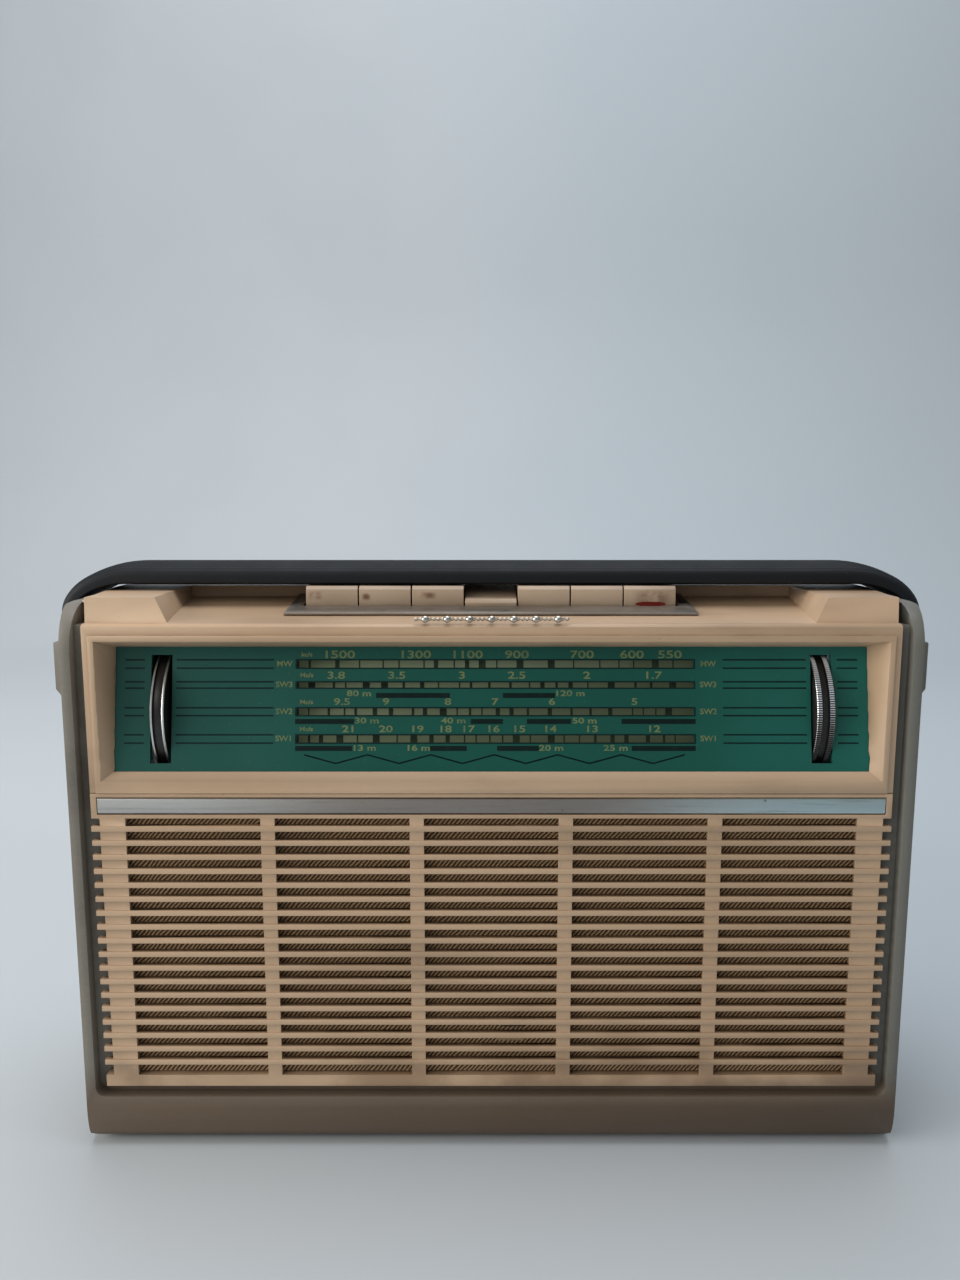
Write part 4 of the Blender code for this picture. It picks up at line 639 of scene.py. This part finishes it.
ZIGZAG_START, ZIGZAG_STEP, ZIGZAG_POINTS = -69.4 * MM, 11.75 * MM, 13
ZIGZAG_LOW, ZIGZAG_HIGH, ZIGZAG_LINE = -20.4 * MM, -17.2 * MM, 0.55 * MM
LETTER_STRETCH = 1.5
WHEEL_SLOT_HALF_X = 3.9 * MM
WHEEL_SLOT_HALF_Z = 20.1 * MM
VOLUME_WHEEL_WIDTH = 5.1 * MM
TUNING_WHEEL_WIDTH = 6.5 * MM
WHEEL_BOSS = 1.5 * MM


def wheel_places():
    """Middle X of the left and the right thumbwheel."""
    places = []
    for name, width in (("volume_wheel", VOLUME_WHEEL_WIDTH), ("tuning_wheel", TUNING_WHEEL_WIDTH)):
        low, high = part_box(name)
        outer = max(abs(low.x), abs(high.x)) - WHEEL_BOSS - width / 2
        places.append(math.copysign(outer, low.x))
    return places


def dial_face():
    """The printed glass: wheel slots at both ends and four see-through scale windows."""
    holes = []
    for middle in wheel_places():
        across = (middle - WHEEL_SLOT_HALF_X, middle + WHEEL_SLOT_HALF_X)
        holes.append((*across, -WHEEL_SLOT_HALF_Z, WHEEL_SLOT_HALF_Z))
    for low, high in STRIPS:
        holes.append((STRIP_LOW + STRIP_RIM, STRIP_HIGH - STRIP_RIM, low + STRIP_RIM, high - STRIP_RIM))
    shape = pierced_panel(GLASS_HALF_X, GLASS_SPAN / 2, GLASS_THICKNESS, holes)
    face = piece("dial_glass_face", shape, FINISHES["dial_glass"], "case", place=ON_DIAL)
    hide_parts("dial_glass")


def inlay(shape, low_x, high_x, low_z, high_z):
    """Adds a thin printed rectangle on the front of the glass."""
    add_box(shape, (low_x, -PRINT_THICKNESS, low_z), (high_x, -0.2 * PRINT_THICKNESS, high_z))


def dial_lines():
    """Dark print: the strips' borders and the paired lines beside the wheels."""
    shape = bmesh.new()
    left, right = wheel_places()
    side_lines = (
        (-GLASS_HALF_X + SIDE_LINE_MARGIN, left - 6.3 * MM),
        (left + 5.5 * MM, SIDE_LINE_LEFT_END),
        (SIDE_LINE_RIGHT_END, right - 5.5 * MM),
        (right + 6.0 * MM, GLASS_HALF_X - SIDE_LINE_MARGIN),
    )
    for low, high in STRIPS:
        inlay(shape, STRIP_LOW, STRIP_HIGH, high - STRIP_LINE, high)
        inlay(shape, STRIP_LOW, STRIP_HIGH, low, low + STRIP_LINE)
        for end in (STRIP_LOW, STRIP_HIGH - STRIP_LINE):
            inlay(shape, end, end + STRIP_LINE, low + STRIP_LINE, high - STRIP_LINE)
        for z in (high - SIDE_LINE, low):
            for start, stop in side_lines:
                inlay(shape, start, stop, z, z + SIDE_LINE)
    piece("dial_dark_lines", shape, DARK_PRINT, "case", place=ON_DIAL)


def dial_bars():
    """Short dark bars that mark the wavebands in metres."""
    shape = bmesh.new()
    for low_x, high_x, low_z, high_z in SHORT_BARS:
        inlay(shape, low_x * MM, high_x * MM, low_z * MM, high_z * MM)
    piece("dial_band_bars", shape, DEEP_PRINT, "case", place=ON_DIAL)


def dial_zigzag():
    """The dark zigzag line at the foot of the dial."""
    shape = bmesh.new()
    path = []
    for index in range(ZIGZAG_POINTS):
        path.append((ZIGZAG_START + ZIGZAG_STEP * index, ZIGZAG_HIGH if index % 2 == 0 else ZIGZAG_LOW))
    for (x0, z0), (x1, z1) in zip(path, path[1:]):
        corners = [(x0, z0), (x1, z1), (x1, z1 + ZIGZAG_LINE), (x0, z0 + ZIGZAG_LINE)]
        shape.faces.new([shape.verts.new((x, -PRINT_THICKNESS, z)) for x, z in corners])
    bmesh.ops.solidify(shape, geom=shape.faces[:], thickness=0.03 * MM)
    piece("dial_zigzag", shape, DARK_PRINT, "case", place=ON_DIAL)


def text_mesh(words, size, x, z, stretch=LETTER_STRETCH):
    """Flat lettering centred on a point of the dial."""
    curve = bpy.data.curves.new("words", "FONT")
    curve.body = words
    curve.size = size
    curve.align_x = "CENTER"
    curve.align_y = "CENTER"
    curve.resolution_u = 3
    curve.extrude = 0.012 * MM
    curve.offset = 0.07 * MM
    holder = add_to_scene("words", curve)
    shaped = holder.evaluated_get(bpy.context.evaluated_depsgraph_get())
    mesh = bpy.data.meshes.new_from_object(shaped)
    bpy.data.objects.remove(holder)
    turn = Matrix.Translation((x, -PRINT_THICKNESS, z)) @ Matrix.Rotation(math.pi / 2, 4, "X")
    mesh.transform(turn @ Matrix.Diagonal((stretch, 1, 1, 1)))
    return mesh


def dial_numerals():
    """Pale frequency numbers, band names at both ends, and the units."""
    shape = bmesh.new()
    for z, height, row in NUMERALS:
        for words, x in row:
            shape.from_mesh(text_mesh(words, height * LETTER_STRETCH * MM, x * MM, z * MM))
    for z, words in BAND_LETTERS:
        for x in BAND_LETTER_PLACES:
            shape.from_mesh(text_mesh(words, 2.9 * MM, x, z * MM, 1.1))
    for z, band in BAND_LETTERS:
        unit = "kc/s" if band == "MW" else "Mc/s"
        shape.from_mesh(text_mesh(unit, 2.2 * MM, UNIT_PLACE, (z + UNIT_RISE) * MM, 1.2))
    piece("dial_pale_numerals", shape, PALE_PRINT, "case", place=ON_DIAL)


def dial_scale_marks():
    """Dark calibration blocks on the card behind the windows."""
    thickness = 0.05 * MM
    card_front = GLASS_THICKNESS + CARD_GAP - 0.08 * MM
    shape = bmesh.new()
    for row, (low, high) in enumerate(STRIPS):
        x = STRIP_LOW + 4 * MM
        while x < STRIP_HIGH - 5 * MM:
            width = random.choice((0.5, 0.5, 0.9, 1.6, 2.6)) * MM
            add_box(shape, (x, card_front, low), (x + width, card_front + thickness, high))
            x += width + random.uniform(3.2, 9.5 - row) * MM
    piece("dial_scale_marks", shape, TICK_PRINT, "case", place=ON_DIAL)


# Thumbwheels

KNURL_DEPTH = 0.26 * MM
# Teeth round the wheel, width of a silver band, and depth of the band's teeth
VOLUME_MILLING = (170, 0.8 * MM, 0)
TUNING_MILLING = (190, 1.8 * MM, 0.36 * MM)


def wheel_outline(half, radius, band, tooth):
    """Outline from the left face to the right.

    Each point has its place along the axis, its radius, its tooth depth, and if it is in a silver band.
    """
    outline = [
        (-half, 3.0 * MM, 0, False),
        (-half, radius - 3.4 * MM, 0, False),
        (-half + 0.4 * MM, radius - 2.6 * MM, 0, False),
        (-half, radius - 1.5 * MM, 0, False),
        (-half, radius - 0.45 * MM, 0, True),
        (-half + 0.25 * MM, radius - 0.1 * MM, 0.7 * tooth, True),
        (-half + 0.5 * band, radius, tooth, True),
        (-half + band, radius - 0.25 * MM, 0.6 * tooth, True),
        (-half + band + 0.15 * MM, radius - 1.1 * MM, 0, False),
        (-half + band + 0.3 * MM, radius - 0.9 * MM, KNURL_DEPTH, False),
    ]
    return outline + [(-along, *rest) for along, *rest in reversed(outline)]


def wheel_rings(shape, outline, centre, steps):
    """One ring of vertices round the axis for each point of the outline."""
    rings = []
    for along, reach, depth, _ in outline:
        ring = []
        for index in range(steps):
            angle = math.tau * index / steps
            distance = reach - (depth if index % 2 else 0)
            offset = Vector((along, distance * math.cos(angle), distance * math.sin(angle)))
            ring.append(shape.verts.new(centre + offset))
        rings.append(ring)
    return rings


def add_boss(shape, ring, x):
    """Closes a wheel's face with a straight boss that ends at X = x."""
    far = [shape.verts.new((x, vert.co.y, vert.co.z)) for vert in ring]
    for index in range(len(ring)):
        nearby = (index + 1) % len(ring)
        shape.faces.new((far[index], far[nearby], ring[nearby], ring[index]))
    shape.faces.new(far)


def milled_wheel(name, node, body, width, teeth, band, tooth):
    """A wheel with two silver bands and a knurled black middle, turned about the CAD wheel's axis."""
    low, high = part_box(node)
    radius = (high.z - low.z) / 2
    left, right = wheel_places()
    middle = left if low.x < 0 else right
    side = math.copysign(1, middle)
    centre = Vector((middle, (low.y + high.y) / 2, (low.z + high.z) / 2))
    steps = teeth * 2
    outline = wheel_outline(width / 2, radius, band, tooth)
    shape = bmesh.new()
    rings = wheel_rings(shape, outline, centre, steps)
    for number, (first, second) in enumerate(zip(rings, rings[1:])):
        in_band = outline[number][3] and outline[number + 1][3]
        for index in range(steps):
            nearby = (index + 1) % steps
            face = shape.faces.new((first[index], first[nearby], second[nearby], second[index]))
            flank = tooth and index % 2
            face.material_index = 1 if in_band and not flank else 0
    outer = middle + side * (width / 2 + WHEEL_BOSS)
    inner = min(abs(low.x), abs(high.x)) * side
    add_boss(shape, rings[-1] if side > 0 else rings[0], outer)
    add_boss(shape, rings[0] if side > 0 else rings[-1], inner)
    finish = [FINISHES["wheel_black"], WHEEL_SILVER]
    made = piece(name, shape, finish, body, smooth=32)
    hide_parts(node)


# Grille cloth

CLOTH_COLUMNS, CLOTH_ROWS = 140, 56
CLOTH_LIFT = 0.12 * MM
CLOTH_DIP = 0.3 * MM


def grille_cloth():
    """Cloth stretched over the baffle, dipping slightly over the loudspeaker's hole."""
    low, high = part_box("grille_cloth")
    speaker_low, speaker_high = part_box("speaker_cone")
    speaker = (speaker_low + speaker_high) / 2
    radius = (speaker_high.x - speaker_low.x) / 2
    size = high - low
    shape = bmesh.new()
    grid = []
    for row in range(CLOTH_ROWS + 1):
        line = []
        for column in range(CLOTH_COLUMNS + 1):
            x = low.x + size.x * column / CLOTH_COLUMNS
            z = low.z + size.z * row / CLOTH_ROWS
            near = max(0.0, 1 - ((x - speaker.x) ** 2 + (z - speaker.z) ** 2) / radius**2)
            line.append(shape.verts.new((x, low.y + CLOTH_LIFT + CLOTH_DIP * near, z)))
        grid.append(line)
    for below, above in zip(grid, grid[1:]):
        for column in range(CLOTH_COLUMNS):
            shape.faces.new((below[column], below[column + 1], above[column + 1], above[column]))
    made = piece("woven_grille_cloth", shape, FINISHES["cloth"], "case", smooth=60)
    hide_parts("grille_cloth")


# Strap

STRAP_CORNER_X, STRAP_CORNER_Z = 30.5 * MM, 20.0 * MM
DROP_STEPS, CORNER_STEPS, TOP_STEPS = 5, 16, 14
STRAP_RIBS, POINTS_PER_RIB = 21, 6
RIB_HEIGHT = 0.34 * MM
STRAP_SKIN = 0.36 * MM
# Thickness over the top and down the sides, and how much of it the rounded underside takes
TOP_THICKNESS, SIDE_THICKNESS = 8.5 * MM, 5.3 * MM
TOP_UNDERCUT, SIDE_UNDERCUT = 1.6 * MM, 0.8 * MM
# Rounded long edges: how far in they start and how far they fall, and the fall of the domed middle
EDGE_WIDTH, EDGE_FALL, CROWN_FALL = 3.4 * MM, 2.6 * MM, 2.2 * MM
UNDERSIDE = (0.99, 0.9, 0.5, 0.0, -0.5, -0.9, -0.99)


def strap_path(outer_x, top, end):
    """Points along the strap's outer face with their outward directions, from left to right."""
    centre = Vector((outer_x - STRAP_CORNER_X, 0, top - STRAP_CORNER_Z))
    drop = centre.z - end
    points = []
    for step in range(DROP_STEPS):
        points.append((Vector((outer_x, 0, end + drop * step / DROP_STEPS)), Vector((1, 0, 0))))
    for step in range(CORNER_STEPS + 1):
        angle = math.radians(90 * step / CORNER_STEPS)
        reach = Vector((STRAP_CORNER_X * math.cos(angle), 0, STRAP_CORNER_Z * math.sin(angle)))
        out = Vector((math.cos(angle) / STRAP_CORNER_X, 0, math.sin(angle) / STRAP_CORNER_Z))
        points.append((centre + reach, out.normalized()))
    for step in range(1, TOP_STEPS):
        points.append((Vector((centre.x * (1 - step / TOP_STEPS), 0, top)), Vector((0, 0, 1))))
    left = [(Vector((-p.x, 0, p.z)), Vector((-n.x, 0, n.z))) for p, n in points]
    return left + [(Vector((0, 0, top)), Vector((0, 0, 1)))] + points[::-1]


def strap_section(place, out, half):
    """Points round the strap at one place of its path: ribs on the outside, then the plain underside."""
    side = abs(out.x)
    thick = TOP_THICKNESS + (SIDE_THICKNESS - TOP_THICKNESS) * side
    under = thick - TOP_UNDERCUT * (1 - side) - SIDE_UNDERCUT * side
    points = []
    steps = STRAP_RIBS * POINTS_PER_RIB
    for step in range(steps + 1):
        across = -half + 2 * half * step / steps
        edge = max(0.0, (abs(across) - (half - EDGE_WIDTH)) / EDGE_WIDTH)
        fall = EDGE_FALL * (1 - math.sqrt(max(0.0, 1 - edge**2)))
        wave = 0.5 - 0.5 * math.cos(math.tau * step / POINTS_PER_RIB)
        rib = RIB_HEIGHT * wave * (1 - edge)
        crown = CROWN_FALL * (across / half) ** 2 * (1 - side)
        points.append(place - out * (fall + crown + STRAP_SKIN - rib) + Vector((0, across, 0)))
    for share in UNDERSIDE:
        depth = thick if abs(share) < 0.95 else (under + thick) / 2
        points.append(place - out * depth + Vector((0, half * share, 0)))
    return points


def handle_strap():
    """Strap with fine ribs along its length, rounded edges and a thinner return down each side."""
    low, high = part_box("handle_strap")
    half = (high.y - low.y) / 2
    shape = bmesh.new()
    rings = []
    for place, out in strap_path(high.x, high.z, low.z):
        rings.append([shape.verts.new(point) for point in strap_section(place, out, half)])
    join_rings(shape, rings)
    made = piece("ribbed_strap", shape, FINISHES["strap"], "handle", smooth=50)
    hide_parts("handle_strap")


# Ornament and marks

BEADS = 7
BEAD_SHARE = 0.98
BEAD_FLATTENING = (1, 0.9, 0.86, 1)
WIRE_TWIST = 3.2 * MM
WIRE_RADIUS = 0.26 * MM
WIRE_OFFSET = 0.45 * MM
WIRE_STEPS, WIRE_CORNERS = 150, 6
RED_MARK_SHIFT, RED_MARK_DROP = 0.3 * MM, 6.9 * MM
RED_MARK_HALF_X, RED_MARK_HALF_Z = 5.6 * MM, 0.8 * MM
RED_MARK_STEPS = 28


def add_wire(shape, low, length, centre, start):
    """Adds one of the two twisted wires: start is its angle at the left end."""
    rings = []
    for step in range(WIRE_STEPS + 1):
        along = low.x + length * step / WIRE_STEPS
        angle = start + math.tau * (along - low.x) / WIRE_TWIST
        aside = Vector((0, math.cos(angle), math.sin(angle))) * WIRE_OFFSET
        middle = Vector((along, centre.y, centre.z)) + aside
        ring = []
        for corner in range(WIRE_CORNERS):
            turn = math.tau * corner / WIRE_CORNERS
            edge = Vector((0, math.cos(turn), math.sin(turn))) * WIRE_RADIUS
            ring.append(shape.verts.new(middle + edge))
        rings.append(ring)
    join_rings(shape, rings)


def beaded_bar():
    """Plain ornament: seven small beads threaded on two wires twisted together."""
    low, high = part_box("badge_bar")
    centre = (low + high) / 2
    length = high.x - low.x
    radius = BEAD_SHARE * (high.z - low.z) / 2
    shape = bmesh.new()
    for index in range(BEADS):
        x = centre.x + (index - (BEADS - 1) / 2) * length / BEADS
        place = Matrix.Translation((x, centre.y, centre.z)) @ Matrix.Diagonal(BEAD_FLATTENING)
        bmesh.ops.create_uvsphere(shape, u_segments=18, v_segments=10, radius=radius, matrix=place)
    for start in (0, math.pi):
        add_wire(shape, low, length, centre, start)
    made = piece("beaded_bar", shape, FINISHES["chrome"], "case", smooth=40)
    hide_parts("badge_bar")


def signed_power(value, power):
    """The value's size raised to a power, with its own sign."""
    return math.copysign(abs(value) ** power, value)


def red_key_mark():
    """A worn red stroke of uneven outline at the foot of the last key's front."""
    low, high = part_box("key_7")
    middle = (low.x + high.x) / 2 + RED_MARK_SHIFT
    height = high.z - RED_MARK_DROP
    outline = []
    for step in range(RED_MARK_STEPS):
        angle = math.tau * step / RED_MARK_STEPS
        reach = 1 + random.uniform(-0.09, 0.09)
        x = middle + RED_MARK_HALF_X * reach * signed_power(math.cos(angle), 0.6)
        z = height + RED_MARK_HALF_Z * reach * signed_power(math.sin(angle), 0.6)
        outline.append((x, z))
    shape = bmesh.new()
    loops = []
    for y in (low.y - 0.05 * MM, low.y - 0.01 * MM):
        loops.append([shape.verts.new((x, y, z)) for x, z in outline])
    join_rings(shape, loops)
    piece("key_7_red_mark", shape, RED_MARK, "key_7_body")


# Surroundings

FLOOR_HALF_WIDTH = 4.0
FLOOR_FRONT, FLOOR_BACK = -3.0, 1.0
FLOOR_CURVE, CURVE_STEPS = 0.8, 12
WALL_TOP = 3.0
ROOM_COLOUR, ROOM_STRENGTH = srgb(206, 208, 210), 0.46
WARM_LIGHT, COOL_LIGHT = srgb(255, 250, 242), srgb(246, 249, 255)
RADIO_AIM, WALL_AIM = Vector((0, 0, 0.1)), Vector((0, 1.6, 0.5))
# Name, place, aim, size in metres, power in watts, colour
LAMPS = [
    ("window", (-1.5, -0.5, 0.55), RADIO_AIM, 1.1, 18.0, WARM_LIGHT),
    ("front", (-1.0, -1.3, 1.0), RADIO_AIM, 0.8, 4.0, WARM_LIGHT),
    ("top", (0.0, 0.7, 1.3), RADIO_AIM, 1.4, 3.5, COOL_LIGHT),
    ("wall", (0.0, 0.2, 2.2), WALL_AIM, 1.6, 27.0, COOL_LIGHT),
]
EYE_PLACE = (-0.0042, -0.4016, 0.252)
EYE_PITCH = math.radians(90 - 8.44)
LENS, SENSOR_WIDTH, CLIP_START = 28.125, 36, 0.01


def studio_floor():
    """Pale floor that curves up into a pale wall, with painted shade towards the right."""
    profile = [(FLOOR_FRONT, 0.0), (FLOOR_BACK, 0.0)]
    for step in range(1, CURVE_STEPS + 1):
        angle = math.radians(90 * step / CURVE_STEPS)
        back = FLOOR_BACK + FLOOR_CURVE * math.sin(angle)
        profile.append((back, FLOOR_CURVE - FLOOR_CURVE * math.cos(angle)))
    profile.append((FLOOR_BACK + FLOOR_CURVE, WALL_TOP))
    shape = bmesh.new()
    rows = []
    for y, z in profile:
        rows.append([shape.verts.new((x, y, z)) for x in (-FLOOR_HALF_WIDTH, FLOOR_HALF_WIDTH)])
    for first, second in zip(rows, rows[1:]):
        shape.faces.new((first[0], first[1], second[1], second[0]))
    mesh = bpy.data.meshes.new("studio_floor")
    shape.to_mesh(mesh)
    shape.free()
    mesh.shade_smooth()
    made = Finish("pale floor with painted shade", srgb(196, 202, 206), 0.7)
    made.tint(made.between(made.noise(3, 2), 0.4, 0.7), srgb(190, 197, 202), 0.5)
    # painted shade: slightly darker and bluer towards the right, away from the window
    made.tint(made.between(made.axes()[0], -0.3, 0.4), srgb(182, 192, 198), 0.6)
    mesh.materials.append(made.material)
    add_to_scene("studio_floor", mesh)


def room_light():
    """A window to the left, a weak fill, a soft top light, one for the wall, and an even room."""
    world = bpy.data.worlds.new("soft room")
    bpy.context.scene.world = world
    world.use_nodes = True
    background = world.node_tree.nodes["Background"]
    background.inputs["Color"].default_value = ROOM_COLOUR
    background.inputs["Strength"].default_value = ROOM_STRENGTH
    for name, place, aim, size, power, colour in LAMPS:
        light = bpy.data.lights.new(name, "AREA")
        light.size = size
        light.energy = power
        light.color = colour[:3]
        lamp = add_to_scene(name, light)
        lamp.location = place
        lamp.rotation_euler = (aim - Vector(place)).to_track_quat("-Z", "Y").to_euler()


def camera():
    """The view of the front from slightly above, tilted down."""
    data = bpy.data.cameras.new("camera")
    data.lens = LENS
    data.sensor_width = SENSOR_WIDTH
    data.clip_start = CLIP_START
    eye = add_to_scene("camera", data)
    eye.location = EYE_PLACE
    eye.rotation_euler = (EYE_PITCH, 0, 0)
    bpy.context.scene.camera = eye
    bpy.context.scene.view_settings.view_transform = "Standard"


dress_nodes()
dial_face()
dial_lines()
dial_bars()
dial_zigzag()
dial_numerals()
dial_scale_marks()
milled_wheel("volume_thumbwheel", "volume_wheel", "volume", VOLUME_WHEEL_WIDTH, *VOLUME_MILLING)
milled_wheel("tuning_thumbwheel", "tuning_wheel", "tuning", TUNING_WHEEL_WIDTH, *TUNING_MILLING)
grille_cloth()
handle_strap()
beaded_bar()
red_key_mark()
studio_floor()
room_light()
camera()
